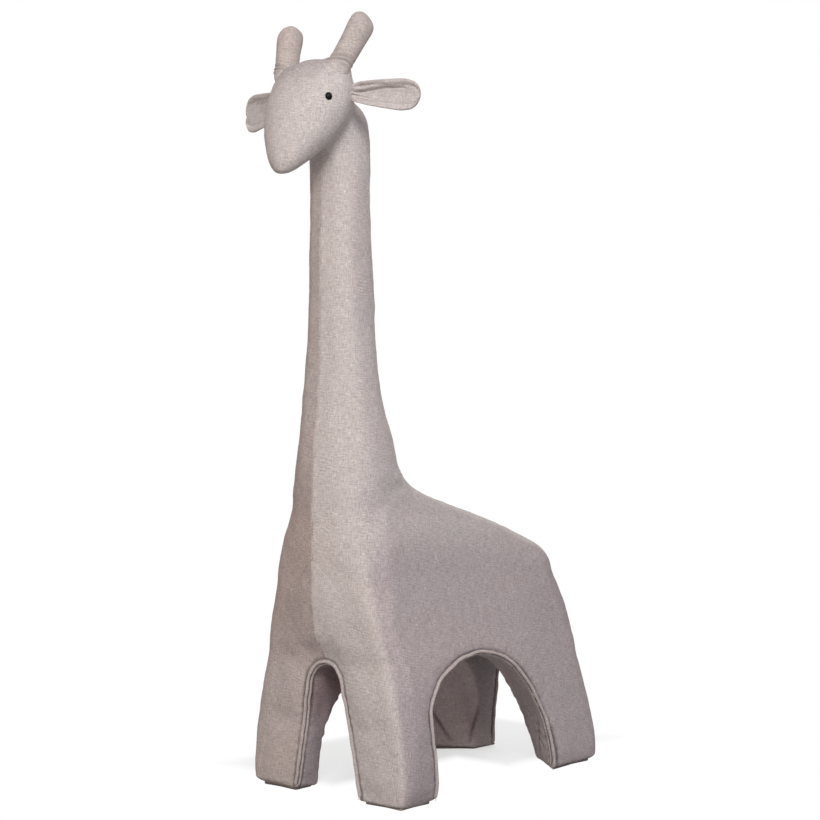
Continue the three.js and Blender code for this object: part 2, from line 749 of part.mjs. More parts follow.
// Head: the egg and the rounded top of the neck behind it
const headTop = seamCut(trunk, chinHeight, throatTilt, true);
const eyeRooms = Object.values(sides).flatMap((side) => [makeEye(side, eyePlay), makeWasherRoom(side)]);
addPiece('head', cutAll(makeEgg().add(headTop), postRoom, makeCap(framePlay), ...eyeRooms), linen);

// Four legs, each with its board and its sole
const legs = standing.trimByPlane([0, 0, -1], seamGap / 2 - legHeight)
  .trimByPlane([0, 0, 1], soleThickness + seamGap);
for (const [end, facing] of [['front', -1], ['rear', 1]]) {
  for (const [name, side] of Object.entries(sides)) {
    const quarter = legs.trimByPlane([side, 0, 0], 0).trimByPlane([0, facing, 0], 0);
    const board = { border: boardInset, foot: soleThickness + seamGap, thickness: boardThickness };
    const room = {
      border: boardInset - seamGap,
      foot: soleThickness - seamGap,
      thickness: boardThickness + 3 * seamGap,
    };
    const sole = { border: soleInset, foot: 0, thickness: soleThickness, hem: soleHem };
    addPiece(`leg_${end}_${name}`, cutAll(quarter, hoopRoom, makePlate(end, side, room)), linen);
    addPiece(`foot_board_${end}_${name}`, makePlate(end, side, board).subtract(hoopRoom), ply);
    addPiece(`sole_${end}_${name}`, makePlate(end, side, sole), lining);
  }
}

// Horns, cut where they meet the head, ears and eyes
const hornSeat = makeEgg(seamGap);
for (const [name, side] of Object.entries(sides)) {
  addPiece(`horn_${name}`, makeHorn(side).subtract(hornSeat), linen);
  addPiece(`ear_${name}`, makeEar(side), linen);
  addPiece(`eye_${name}`, makeEye(side), bead);
  addPiece(`eye_washer_${name}`, makeWasher(side), nylon);
}

// Tail, cut where it meets the rump
addPiece('tail', makeTail().subtract(trunk.translate([0, tailPlay, 0])), linen);

// Frame inside
addPiece('neck_post', makePost(), steel);
addPiece('neck_post_cap', makeCap(), nylon);
addPiece('spine_rod', makeSpine(), steel);
addPiece('leg_hoop_front', hoops.front, steel);
addPiece('leg_hoop_rear', hoops.rear, steel);
addPiece('frame_clamp_front', cutAll(makeClamp('front'), hoopRoom, postRoom, spineRoom), nylon);
addPiece('frame_clamp_rear', cutAll(makeClamp('rear'), hoopRoom, spineRoom), nylon);

export default group;
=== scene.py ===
"""A floor-standing plush giraffe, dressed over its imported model.

The cover is one stuffed skin: a lofted trunk and an egg-shaped head are joined, the leg arches are cut,
the skin is blown up a little between its seams, and it is then parted into neck, head, body and legs
along flat cuts. Welts, stitches, horns, ears, eyes, tail and soles are pieces of their own.

Metres, +Z up, the giraffe faces -Y, the floor is at zero. Sizes are fields of the classes.
"""
from __future__ import annotations

import json
import logging
from dataclasses import dataclass, field
from enum import Enum

import bmesh
import bpy
import numpy as np
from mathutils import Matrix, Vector

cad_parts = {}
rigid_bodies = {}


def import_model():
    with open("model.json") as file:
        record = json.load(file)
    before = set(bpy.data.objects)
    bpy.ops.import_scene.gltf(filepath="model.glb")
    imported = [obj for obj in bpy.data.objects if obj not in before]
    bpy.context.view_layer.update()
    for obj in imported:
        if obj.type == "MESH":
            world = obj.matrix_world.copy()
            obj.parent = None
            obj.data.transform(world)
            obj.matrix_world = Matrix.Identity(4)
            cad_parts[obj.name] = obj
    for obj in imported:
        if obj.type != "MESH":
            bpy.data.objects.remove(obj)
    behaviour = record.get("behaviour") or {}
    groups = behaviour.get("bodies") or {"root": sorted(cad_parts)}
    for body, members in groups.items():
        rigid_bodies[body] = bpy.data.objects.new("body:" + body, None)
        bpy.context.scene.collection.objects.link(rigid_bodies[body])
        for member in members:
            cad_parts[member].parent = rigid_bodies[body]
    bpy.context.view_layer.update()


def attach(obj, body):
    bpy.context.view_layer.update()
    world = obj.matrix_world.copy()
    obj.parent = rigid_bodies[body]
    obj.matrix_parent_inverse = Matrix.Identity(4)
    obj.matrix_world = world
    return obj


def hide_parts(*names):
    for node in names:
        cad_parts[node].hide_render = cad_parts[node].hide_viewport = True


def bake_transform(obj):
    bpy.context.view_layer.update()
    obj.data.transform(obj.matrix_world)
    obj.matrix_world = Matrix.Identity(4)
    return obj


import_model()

log = logging.getLogger("plush_giraffe")
Array = np.ndarray
Triple = tuple[float, float, float]
Edge = tuple[Array, Array, Array]
MM = 0.001
UP = np.array([0.0, 0.0, 1.0])


class Side(Enum):
    """The giraffe's own left and right, as signs of X."""

    LEFT = 1
    RIGHT = -1

    @property
    def word(self) -> str:
        """The side's name, as the CAD nodes write it."""
        return self.name.lower()


class End(Enum):
    """The front and rear legs, as signs of Y."""

    FRONT = -1
    REAR = 1

    @property
    def word(self) -> str:
        """The end's name, as the CAD nodes write it."""
        return self.name.lower()


# Arrays and meshes


def unit(vectors: Array) -> Array:
    """Vectors divided by their lengths, along the last axis."""
    return vectors / np.maximum(np.linalg.norm(vectors, axis=-1, keepdims=True), 1e-12)


def ease(low: float, high: float, at: Array) -> Array:
    """Zero below low, one above high, and 3t^2 - 2t^3 between them."""
    t = np.clip((at - low) / (high - low), 0.0, 1.0)
    return t * t * (3.0 - 2.0 * t)


def window(rise: tuple[float, float], fall: tuple[float, float], at: Array) -> Array:
    """One between a rise and a fall, zero outside them, eased over both."""
    return ease(*rise, at) * (1 - ease(*fall, at))


def hump(distance: Array, width: float) -> Array:
    """A bell of height one: exp(-(distance / width)^2)."""
    return np.exp(-((distance / width) ** 2))


@dataclass(frozen=True)
class Bell:
    """A rise or groove along a line: height exp(-((distance - off) / width)^2)."""

    height: float
    width: float
    off: float = 0.0

    def at(self, distance: Array) -> Array:
        """The rise at some distances from the line."""
        return self.height * hump(distance - self.off, self.width)


def read_table(rows: Array, at: Array) -> Array:
    """Reads a table with a smooth curve that never overshoots its rows.

    Each column is a cubic between rows, with the harmonic mean of the two neighbouring slopes as its slope
    at a row, or zero where they point opposite ways.

    Args:
        rows: one row per place; the first column is the place, rising.
        at: the places to read.

    Returns:
        One row per place read, without the first column.
    """
    place, value = rows[:, 0], rows[:, 1:]
    step = np.diff(place)[:, None]
    rise = np.diff(value, axis=0) / step
    both = rise[:-1] * rise[1:]
    total = np.where(both > 0, rise[:-1] + rise[1:], 1.0)
    slope = np.concatenate([rise[:1], np.where(both > 0, 2 * both / total, 0.0), rise[-1:]])
    at = np.clip(at, place[0], place[-1])
    low = np.clip(np.searchsorted(place, at) - 1, 0, len(place) - 2)
    t = ((at - place[low]) / (place[low + 1] - place[low]))[:, None]
    width = step[low]
    return (
        (2 * t**3 - 3 * t**2 + 1) * value[low]
        + (t**3 - 2 * t**2 + t) * width * slope[low]
        + (3 * t**2 - 2 * t**3) * value[low + 1]
        + (t**3 - t**2) * width * slope[low + 1]
    )


def ripple(points: Array, size: float, seed: int, octaves: int = 3) -> Array:
    """Soft random unevenness between about -1 and 1.

    A sum of sines along random directions, each octave with half the size and half the height.

    Args:
        points: places, one a row.
        size: the largest bump's length.
        seed: picks the directions and phases.
        octaves: how many sizes are summed.

    Returns:
        One value a point.
    """
    dice = np.random.default_rng(seed)
    total = np.zeros(len(points))
    for octave in range(octaves):
        ways = unit(dice.normal(size=(7, 3))) * (2 * np.pi * 2**octave / size)
        phases = dice.uniform(0, 2 * np.pi, 7)
        total += np.sin(points @ ways.T + phases).sum(axis=1) / (3.0 * 2**octave)
    return total


def link_object(name: str, data: bpy.types.ID) -> bpy.types.Object:
    """Puts a mesh, a lamp or a camera into the scene as a new object."""
    obj = bpy.data.objects.new(name, data)
    bpy.context.scene.collection.objects.link(obj)
    return obj


def float_rows(values: Array) -> Array:
    """The values as one flat row of single-precision numbers, as Blender takes them."""
    return np.ascontiguousarray(values, dtype=np.float32).ravel()


def make_object(name: str, points: Array, *faces: Array) -> bpy.types.Object:
    """Makes a smooth-shaded mesh object at the origin.

    Args:
        name: the object's name.
        points: one vertex a row.
        faces: arrays of vertex numbers, one face a row; each array has one number of corners.

    Returns:
        The new object, linked to the scene.
    """
    mesh = bpy.data.meshes.new(name)
    corners = np.concatenate([part.ravel() for part in faces]).astype(np.int32)
    counts = np.concatenate([np.full(len(part), part.shape[1]) for part in faces])
    starts = np.concatenate([[0], np.cumsum(counts)[:-1]]).astype(np.int32)
    mesh.vertices.add(len(points))
    mesh.vertices.foreach_set("co", float_rows(points))
    mesh.loops.add(len(corners))
    mesh.loops.foreach_set("vertex_index", corners)
    mesh.polygons.add(len(counts))
    mesh.polygons.foreach_set("loop_start", starts)
    mesh.update(calc_edges=True)
    mesh.validate()
    mesh.shade_smooth()
    return link_object(name, mesh)


def read_rows(
    items: bpy.types.bpy_prop_collection, key: str, width: int = 3, kind: type = np.float32
) -> Array:
    """Reads one property of all items of a mesh, one item a row."""
    flat = np.empty(len(items) * width, dtype=kind)
    items.foreach_get(key, flat)
    return flat.reshape(-1, width)


def points_of(obj: bpy.types.Object) -> Array:
    """The object's vertices, one a row."""
    return read_rows(obj.data.vertices, "co").astype(float)


def normals_of(obj: bpy.types.Object) -> Array:
    """The object's vertex normals, one a row."""
    return read_rows(obj.data.vertices, "normal").astype(float)


def edges_of(obj: bpy.types.Object) -> Array:
    """The object's edges as pairs of vertex numbers."""
    return read_rows(obj.data.edges, "vertices", 2, np.int32)


def move_points(obj: bpy.types.Object, points: Array) -> None:
    """Puts the object's vertices at new places."""
    obj.data.vertices.foreach_set("co", float_rows(points))
    obj.data.update()


def store(obj: bpy.types.Object, name: str, values: Array) -> None:
    """Keeps a number or a vector on each vertex, for a material to read."""
    kind, key = ("FLOAT", "value") if values.ndim == 1 else ("FLOAT_VECTOR", "vector")
    layer = obj.data.attributes.get(name) or obj.data.attributes.new(name, kind, "POINT")
    layer.data.foreach_set(key, float_rows(values))


def apply_modifier(obj: bpy.types.Object, kind: str, **settings: object) -> None:
    """Puts a modifier on an object and keeps its result as the object's mesh.

    Args:
        obj: the object.
        kind: Blender's name for the kind of modifier.
        settings: its properties.
    """
    modifier = obj.modifiers.new(kind.title(), kind)
    for key, value in settings.items():
        setattr(modifier, key, value)
    depsgraph = bpy.context.evaluated_depsgraph_get()
    mesh = bpy.data.meshes.new_from_object(
        obj.evaluated_get(depsgraph), preserve_all_data_layers=True, depsgraph=depsgraph
    )
    old = obj.data
    obj.modifiers.clear()
    obj.data = mesh
    mesh.name = obj.name
    bpy.data.meshes.remove(old)
    obj.data.shade_smooth()


def grid_faces(rows: int, columns: int, first: int = 0, around: bool = True) -> Array:
    """Quads over a grid of vertices, whose columns may close round."""
    row = np.arange(rows - 1)[:, None] * columns
    column = np.arange(columns if around else columns - 1)[None, :]
    after = (column + 1) % columns
    quads = np.stack([row + column, row + after, row + columns + after, row + columns + column], axis=-1)
    return first + quads.reshape(-1, 4)


def closed_loft(name: str, rings: Array) -> bpy.types.Object:
    """Skins a stack of closed rings and closes both ends with a fan.

    Args:
        name: the object's name.
        rings: places as (ring, step round it, xyz).

    Returns:
        The object, with its faces turned outwards.
    """
    count, around = rings.shape[:2]
    middles = rings[[0, -1]].mean(axis=1)
    points = np.concatenate([rings.reshape(-1, 3), middles])
    step = np.arange(around)
    after = (step + 1) % around
    last = (count - 1) * around
    low = np.stack([np.full(around, count * around), after, step], axis=-1)
    high = np.stack([np.full(around, count * around + 1), last + step, last + after], axis=-1)
    quads = grid_faces(count, around)
    first, second, third, fourth = np.moveaxis(points[quads], 1, 0)
    spread = np.cross(second, third) + np.cross(third, fourth)
    if np.einsum("ij,ij->i", first, spread).sum() < 0:
        quads, low, high = quads[:, ::-1], low[:, ::-1], high[:, ::-1]
    return make_object(name, points, quads, low, high)


def frames_along(path: Array, outward: Array) -> tuple[Array, Array, Array]:
    """Directions along a path: forwards, outwards and aside.

    Args:
        path: places along the path.
        outward: the way that faces out at each place.

    Returns:
        Forward, outward and sideways unit vectors, square to each other.
    """
    forward = unit(np.gradient(path, axis=0))
    outward = unit(outward - (outward * forward).sum(axis=1, keepdims=True) * forward)
    return forward, outward, np.cross(forward, outward)


def circle(steps: int) -> Array:
    """Angles at even steps round a circle, the last one step before the first."""
    return 2 * np.pi * np.arange(steps) / steps


def rings_along(path: Array, ways: tuple[Array, Array], halves: tuple[Array, Array], steps: int) -> Array:
    """Ellipses round the places of a path, for closed_loft: place + a cos(turn) way + b sin(turn) other way.

    Args:
        path: the middles of the rings.
        ways: two directions at each place, square to the path.
        halves: half the size of each ring along the two directions.
        steps: places round a ring.

    Returns:
        Places as (ring, step round it, xyz).
    """
    turn = circle(steps)
    rings = path[:, None, :]
    for way, half, wave in zip(ways, halves, (np.cos(turn), np.sin(turn))):
        rings = rings + (half[:, None] * wave)[..., None] * way[:, None, :]
    return rings


def lengths_along(path: Array) -> Array:
    """The length of a path up to each of its places."""
    return np.concatenate([[0], np.cumsum(np.linalg.norm(np.diff(path, axis=0), axis=1))])


def read_path(path: Array, places: Array, goals: Array) -> Array:
    """Reads a path's three coordinates on straight lines between its places."""
    return np.stack([np.interp(goals, places, path[:, axis]) for axis in range(3)], axis=1)


def evenly(path: Array, count: int) -> Array:
    """The same path with a number of places at equal distances along it."""
    lengths = lengths_along(path)
    return read_path(path, lengths, np.linspace(0, lengths[-1], count))


def near_path(points: Array, path: Array, reach: float) -> tuple[Array, Array]:
    """How far points lie from a path, and how far along it.

    Args:
        points: the places, one a row.
        path: the path's places, close together.
        reach: farther than this, the distance is given as this.

    Returns:
        The distance to the nearest place of the path, and the length along the path up to it.
    """
    distance = np.full(len(points), reach)
    along = np.zeros(len(points))
    low, high = path.min(axis=0) - reach, path.max(axis=0) + reach
    inside = np.flatnonzero(((points > low) & (points < high)).all(axis=1))
    lengths = lengths_along(path)
    for part in np.array_split(inside, max(1, len(inside) * len(path) // 4_000_000)):
        gaps = np.linalg.norm(points[part][:, None, :] - path[None, :, :], axis=2)
        nearest = gaps.argmin(axis=1)
        distance[part] = np.minimum(reach, gaps[np.arange(len(part)), nearest])
        along[part] = lengths[nearest]
    return distance, along


# Finishes


class Nodes:
    """A short way to write the node tree of a material or a world."""

    def __init__(self, owner: bpy.types.Material | bpy.types.World) -> None:
        """Empties the owner's tree down to an output."""
        owner.use_nodes = True
        self.owner = owner
        self.tree = owner.node_tree
        self.tree.nodes.clear()
        self.output = self.add(f"ShaderNodeOutput{type(owner).__name__}")

    def add(self, kind: str, **settings: object) -> bpy.types.Node:
        """Adds a node and sets its properties."""
        node = self.tree.nodes.new(kind)
        for key, value in settings.items():
            setattr(node, key, value)
        return node

    def feed(self, socket: bpy.types.NodeSocket, value: object) -> None:
        """Links a socket to another's output, or sets its value."""
        if isinstance(value, bpy.types.NodeSocket):
            self.tree.links.new(value, socket)
        elif value is not None:
            socket.default_value = value

    def math(self, operation: str, *values: object, clamp: bool = False) -> bpy.types.NodeSocket:
        """One sum on numbers or sockets."""
        node = self.add("ShaderNodeMath", operation=operation, use_clamp=clamp)
        for socket, value in zip(node.inputs, values):
            self.feed(socket, value)
        return node.outputs[0]

    def vector(self, operation: str, *values: object, **named: object) -> bpy.types.NodeSocket:
        """One sum on vectors; named sockets are fed by name."""
        node = self.add("ShaderNodeVectorMath", operation=operation)
        for socket, value in zip(node.inputs, values):
            self.feed(socket, value)
        for name, value in named.items():
            self.feed(node.inputs[name], value)
        return node.outputs[0]

    def attribute(self, name: str) -> bpy.types.Node:
        """Reads what a piece keeps on its vertices."""
        return self.add("ShaderNodeAttribute", attribute_name=name)

    def split(self, vector: bpy.types.NodeSocket) -> tuple[bpy.types.NodeSocket, ...]:
        """The three numbers of a vector."""
        node = self.add("ShaderNodeSeparateXYZ")
        self.feed(node.inputs[0], vector)
        return tuple(node.outputs)

    def join(self, x: object, y: object, z: object = 0.0) -> bpy.types.NodeSocket:
        """A vector from three numbers."""
        node = self.add("ShaderNodeCombineXYZ")
        for socket, value in zip(node.inputs, (x, y, z)):
            self.feed(socket, value)
        return node.outputs[0]

    def noise(self, vector: bpy.types.NodeSocket, scale: float, detail: float = 2.0) -> bpy.types.NodeSocket:
        """Smooth random values about a half."""
        node = self.add("ShaderNodeTexNoise")
        for name, value in zip(("Vector", "Scale", "Detail"), (vector, scale, detail)):
            self.feed(node.inputs[name], value)
        return node.outputs["Fac"]

    def either(self, choice: object, low: object, high: object, kind: str = "VECTOR") -> bpy.types.NodeSocket:
        """The low value where the choice is 0 and the high one where it is 1."""
        node = self.add("ShaderNodeMix", data_type=kind)
        inputs = [socket for socket in node.inputs if socket.enabled]
        for socket, value in zip(inputs, (choice, low, high)):
            self.feed(socket, value)
        return next(socket for socket in node.outputs if socket.enabled)

    def range(self, value: object, *ends: float) -> bpy.types.NodeSocket:
        """Carries numbers from low, high over to new low, new high, smoothly and no further than the ends."""
        node = self.add("ShaderNodeMapRange", interpolation_type="SMOOTHSTEP", clamp=True)
        for socket, number in zip(node.inputs, (value, *ends)):
            self.feed(socket, number)
        return node.outputs[0]

    def bump(self, height: object, strength: float, distance: float, normal: object = None) -> object:
        """A normal tilted by a height."""
        node = self.add("ShaderNodeBump")
        values = (strength, distance, height, normal)
        for name, value in zip(("Strength", "Distance", "Height", "Normal"), values):
            self.feed(node.inputs[name], value)
        return node.outputs[0]

    def mix(self, share: object, low: bpy.types.Node, high: bpy.types.Node) -> None:
        """Ends the tree in a mixture of two shaders."""
        node = self.add("ShaderNodeMixShader")
        for socket, value in zip(node.inputs, (share, low.outputs[0], high.outputs[0])):
            self.feed(socket, value)
        self.feed(self.output.inputs["Surface"], node.outputs[0])

    def shader(self, kind: str, **values: object) -> bpy.types.Node:
        """A shader with its sockets fed by name; a name's underscores stand for its spaces."""
        node = self.add(kind)
        for key, value in values.items():
            self.feed(node.inputs[key.replace("_", " ")], value)
        return node

    def surface(self, **values: object) -> None:
        """Ends the tree in a Principled surface."""
        shader = self.shader("ShaderNodeBsdfPrincipled", **values)
        self.feed(self.output.inputs["Surface"], shader.outputs[0])


@dataclass(frozen=True)
class LinenFinish:
    """A plain weave of slubby, faintly mottled yarn.

    The weave lies in the plane that the cloth faces most: the piece keeps its own place and the way that it
    faces on its vertices. A yarn bumps up at every other crossing, as sin(u) sin(v), and its colour changes
    slowly along it and quickly across it. Painted shade darkens the seams' grooves and the creases, a painted
    highlight lightens the seams' welts, and a kept tone with painted shade and light multiplies the colour.
    """

    name: str
    warm: Triple
    cool: Triple
    pitch: float = 1.15 * MM
    # How much each makes the cloth lighter or darker
    mottle: float = 0.27
    slub: float = 0.24
    crinkle: float = 0.06
    weave: float = 0.035
    # Painted light and shade: a highlight on the seams' welts, shade in their grooves and shade in the
    # creases
    welt_light: float = 0.07
    seam_dark: float = 0.06
    fold_dark: float = 0.72
    # Noise scales, a metre: the yarn across and along itself, its drift and flecks, and slow clouds
    yarn_scales: tuple[float, float] = (700.0, 90.0)
    drift_scale: float = 60.0
    fleck_scale: float = 520.0
    slub_scale: float = 300.0
    patch_scale: float = 22.0
    cloud_scale: float = 7.0
    crinkle_turns: tuple[float, float] = (420.0, 1250.0)
    # Strength and depth of the surface's fine grain and of its seam lines
    grain: tuple[float, float] = (0.55, 0.35 * MM)
    line: tuple[float, float] = (0.8, 0.9 * MM)
    # The crinkles' lean: the scale and the turns of two noises
    crinkle_lean: tuple[tuple[float, float], ...] = ((9.0, 60.0), (70.0, 9.0))
    # What the weave, the flecks, the crinkles and the yarns add to the surface
    relief: tuple[float, float, float, float] = (0.55, 0.9, 0.15, 0.7)
    # How far the warp and the weft wander, in radians of a thread's turn
    wander: tuple[float, float] = (9.0, 7.0)
    # Where each noise starts and stops to show
    uneven_edges: tuple[float, float] = (0.9, 1.9)
    slub_edges: tuple[float, float] = (0.60, 0.74)
    patch_edges: tuple[float, float] = (0.42, 0.66)
    cloud_edges: tuple[float, float] = (0.35, 0.65)
    # The seam's groove and the two sides of its welt, in the units of the kept seam gap
    groove_edges: tuple[float, float] = (0.25, 1.1)
    welt_edges: tuple[tuple[float, float], tuple[float, float]] = ((0.8, 1.6), (2.0, 3.6))
    # Roughness, specular level, sheen and the sheen's roughness
    matt: tuple[float, float, float, float] = (0.85, 0.05, 0.02, 0.5)

    def build(self) -> bpy.types.Material:
        """Makes the material."""
        n = Nodes(bpy.data.materials.new(self.name))
        place = n.attribute("cloth_place").outputs["Vector"]
        x, y, z = n.split(place)
        face_x, face_y, face_z = n.split(n.attribute("cloth_facing").outputs["Vector"])
        sideways = n.math("GREATER_THAN", face_x, n.math("MAXIMUM", face_y, face_z))
        upwards = n.math("GREATER_THAN", face_z, n.math("MAXIMUM", face_x, face_y))
        plane = n.either(upwards, n.either(sideways, n.join(x, z), n.join(y, z)), n.join(x, y))
        across, down, _ = n.split(plane)

        turn = 2 * np.pi / self.pitch
        drift = n.noise(place, self.drift_scale, 1.0)
        warp, weft = (
            n.math("SINE", n.math("MULTIPLY_ADD", run, turn, n.math("MULTIPLY", drift, wander)))
            for run, wander in zip((across, down), self.wander)
        )
        weave = n.math("MULTIPLY", warp, weft)
        short, long = self.yarn_scales
        yarns = [
            n.noise(n.join(n.math("MULTIPLY", across, wide), n.math("MULTIPLY", down, high), depth), 1.0)
            for wide, high, depth in ((short, long, 0.0), (long, short, 7.0))
        ]
        yarn = n.math("ADD", *yarns)
        fleck = n.noise(plane, self.fleck_scale, 3.0)
        uneven = n.math("MULTIPLY_ADD", fleck, 0.8, yarn)
        value = n.range(uneven, *self.uneven_edges, 1.0 - self.mottle, 1.0 + self.mottle)
        value = n.math("MULTIPLY_ADD", weave, self.weave, value)
        slub = n.range(n.noise(plane, self.slub_scale, 1.0), *self.slub_edges, 0.0, 1.0)
        value = n.math("MULTIPLY_ADD", slub, self.slub, value)
        patch = n.range(n.noise(place, self.patch_scale), *self.patch_edges, 0.0, 1.0)
        (slow, wide), (quick, narrow) = self.crinkle_lean
        lean = n.math("MULTIPLY", n.noise(place, quick, 1.0), narrow)
        lean = n.math("MULTIPLY_ADD", n.noise(place, slow, 1.0), wide, lean)
        turn_across, turn_down = self.crinkle_turns
        wave = n.math("MULTIPLY_ADD", down, turn_down, n.math("MULTIPLY_ADD", across, turn_across, lean))
        crinkle = n.math("MULTIPLY", n.math("SINE", wave), patch)
        value = n.math("MULTIPLY_ADD", crinkle, self.crinkle, value)

        # Painted shade in the seams' grooves and, from the crease attribute, in creases; a painted highlight
        # on the welts
        seam = n.attribute("seam_gap").outputs["Fac"]
        groove = n.range(seam, *self.groove_edges, 1.0, 0.0)
        inner, outer = self.welt_edges
        welt = n.math("MULTIPLY", n.range(seam, *inner, 0.0, 1.0), n.range(seam, *outer, 1.0, 0.0))
        folded = n.attribute("crease").outputs["Fac"]
        for mark, light in ((groove, -self.seam_dark), (welt, self.welt_light), (folded, -self.fold_dark)):
            value = n.math("MULTIPLY", value, n.math("MULTIPLY_ADD", mark, light, 1.0))

        cloud = n.range(n.noise(place, self.cloud_scale, 3.0), *self.cloud_edges, 0.0, 1.0)
        tint = n.either(cloud, (*self.warm, 1.0), (*self.cool, 1.0), "RGBA")
        shade = n.vector("SCALE", tint, Scale=value)
        # The kept tone multiplies the colour; it holds the panels' painted shade and painted light
        color = n.vector("MULTIPLY", shade, n.attribute("nap").outputs["Vector"])

        height = 0.0
        for layer, share in zip((weave, fleck, crinkle, yarn), self.relief):
            height = n.math("MULTIPLY_ADD", layer, share, height)
        fine = n.bump(height, *self.grain)
        drawn = n.bump(n.math("SUBTRACT", n.math("MULTIPLY", welt, 0.5), groove), *self.line, fine)
        rough, level, sheen, sheen_rough = self.matt
        n.surface(
            Base_Color=color, Roughness=rough, Specular_IOR_Level=level, Sheen_Weight=sheen,
            Sheen_Roughness=sheen_rough, Normal=drawn,
        )
        return n.owner


@dataclass(frozen=True)
class RigidFinish:
    """Metal, wood or plastic with fine unevenness, on the piece's own coordinates."""

    name: str
    color: Triple
    metallic: float = 0.0
    roughness: float = 0.4
    shine: float = 0.5
    grain: Triple = (40.0, 40.0, 40.0)
    contrast: float = 0.12
    bump: float = 0.15
    bump_depth: float = 0.2 * MM
    # How far the grain changes the roughness, as a share of it
    wear: float = 0.15

    def build(self) -> bpy.types.Material:
        """Makes the material: noise stretched by the grain changes its colour, roughness and surface."""
        n = Nodes(bpy.data.materials.new(self.name))
        axes = n.split(n.add("ShaderNodeTexCoord").outputs["Object"])
        stretched = n.join(*(n.math("MULTIPLY", axis, scale) for axis, scale in zip(axes, self.grain)))
        grain = n.noise(stretched, 1.0, 4.0)
        dark = tuple(channel * (1.0 - self.contrast) for channel in self.color)
        light = tuple(min(1.0, channel * (1.0 + self.contrast)) for channel in self.color)
        smooth, rough = self.roughness * (1.0 - self.wear), min(1.0, self.roughness * (1.0 + self.wear))
        n.surface(
            Base_Color=n.either(grain, (*dark, 1.0), (*light, 1.0), "RGBA"),
            Metallic=self.metallic,
            Roughness=n.range(grain, 0.3, 0.7, smooth, rough),
            Specular_IOR_Level=self.shine,
            Normal=n.bump(grain, self.bump, self.bump_depth),
        )
        return n.owner


LINEN = LinenFinish("mauve_linen", warm=(0.505, 0.437, 0.415), cool=(0.490, 0.434, 0.418))
# The soles' linen is the cover's linen made darker, painted shade for the shaded rim under each foot
SHADED_LINING = LinenFinish("sole_linen", warm=(0.31, 0.265, 0.25), cool=(0.30, 0.265, 0.25))
THREAD = RigidFinish("cotton_thread", (0.50, 0.41, 0.38), roughness=0.8, grain=(900.0, 900.0, 900.0))
BEAD = RigidFinish("black_bead", (0.003, 0.003, 0.003), roughness=0.35, shine=0.12, contrast=0.3, bump=0.03)
STEEL = RigidFinish("plated_rod", (0.55, 0.56, 0.57), metallic=1.0, roughness=0.3, grain=(60.0, 60.0, 900.0))
NYLON = RigidFinish("moulded_nylon", (0.03, 0.03, 0.032), roughness=0.5, grain=(200.0, 200.0, 200.0))
PLY = RigidFinish("birch_ply", (0.52, 0.36, 0.2), roughness=0.6, grain=(30.0, 400.0, 900.0), contrast=0.2)


@dataclass
class Wardrobe:
    """The finishes, each made once."""

    made: dict[str, bpy.types.Material] = field(default_factory=dict)

    def get(self, finish: LinenFinish | RigidFinish) -> bpy.types.Material:
        """The material of a finish."""
        if finish.name not in self.made:
            self.made[finish.name] = finish.build()
        return self.made[finish.name]

    def dress(self, obj: bpy.types.Object, finish: LinenFinish | RigidFinish) -> None:
        """Gives an object one finish."""
        obj.data.materials.clear()
        obj.data.materials.append(self.get(finish))

    def cut_cloth(self, obj: bpy.types.Object, finish: LinenFinish, seam_gap: Array | None = None) -> None:
        """Gives a cloth piece its finish and keeps what the weave reads on its vertices.

        Args:
            obj: the piece, in its final shape.
            finish: the cloth.
            seam_gap: the distance to the nearest seam at each vertex, in metres.
        """
        places, facing = points_of(obj), np.abs(normals_of(obj))
        store(obj, "cloth_place", places)
        store(obj, "cloth_facing", facing)
        far = np.full(len(places), 20.0)
        store(obj, "seam_gap", far if seam_gap is None else np.minimum(seam_gap / MM, 20.0))
        if "nap" not in obj.data.attributes:
            store(obj, "nap", np.ones_like(places))
        self.dress(obj, finish)


WARDROBE = Wardrobe()


def finish_piece(obj: bpy.types.Object, slot: str, *nodes: str, body: str = "body", fill: float | None = None,
                 bend: tuple[Array, Array] | None = None) -> None:
    """Attaches a piece to its body, or bakes its place if it is sewn on, and hides its CAD nodes.

    Args:
        obj: the piece.
        slot: the record's material slot; not used.
        nodes: the CAD nodes that it stands for.
        body: the body that it rides on.
        fill: how tightly it is stuffed, or None if it isn't; not used.
        bend: None for a piece that rides on its body; for a sewn-on piece, where it would start and stop to
            bend, which is not used.
    """
    if bend is None:
        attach(obj, body)
    else:
        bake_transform(obj)
    if nodes:
        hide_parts(*nodes)
    log.info("%s: %d faces", obj.name, len(obj.data.polygons))


# The trunk and the arches


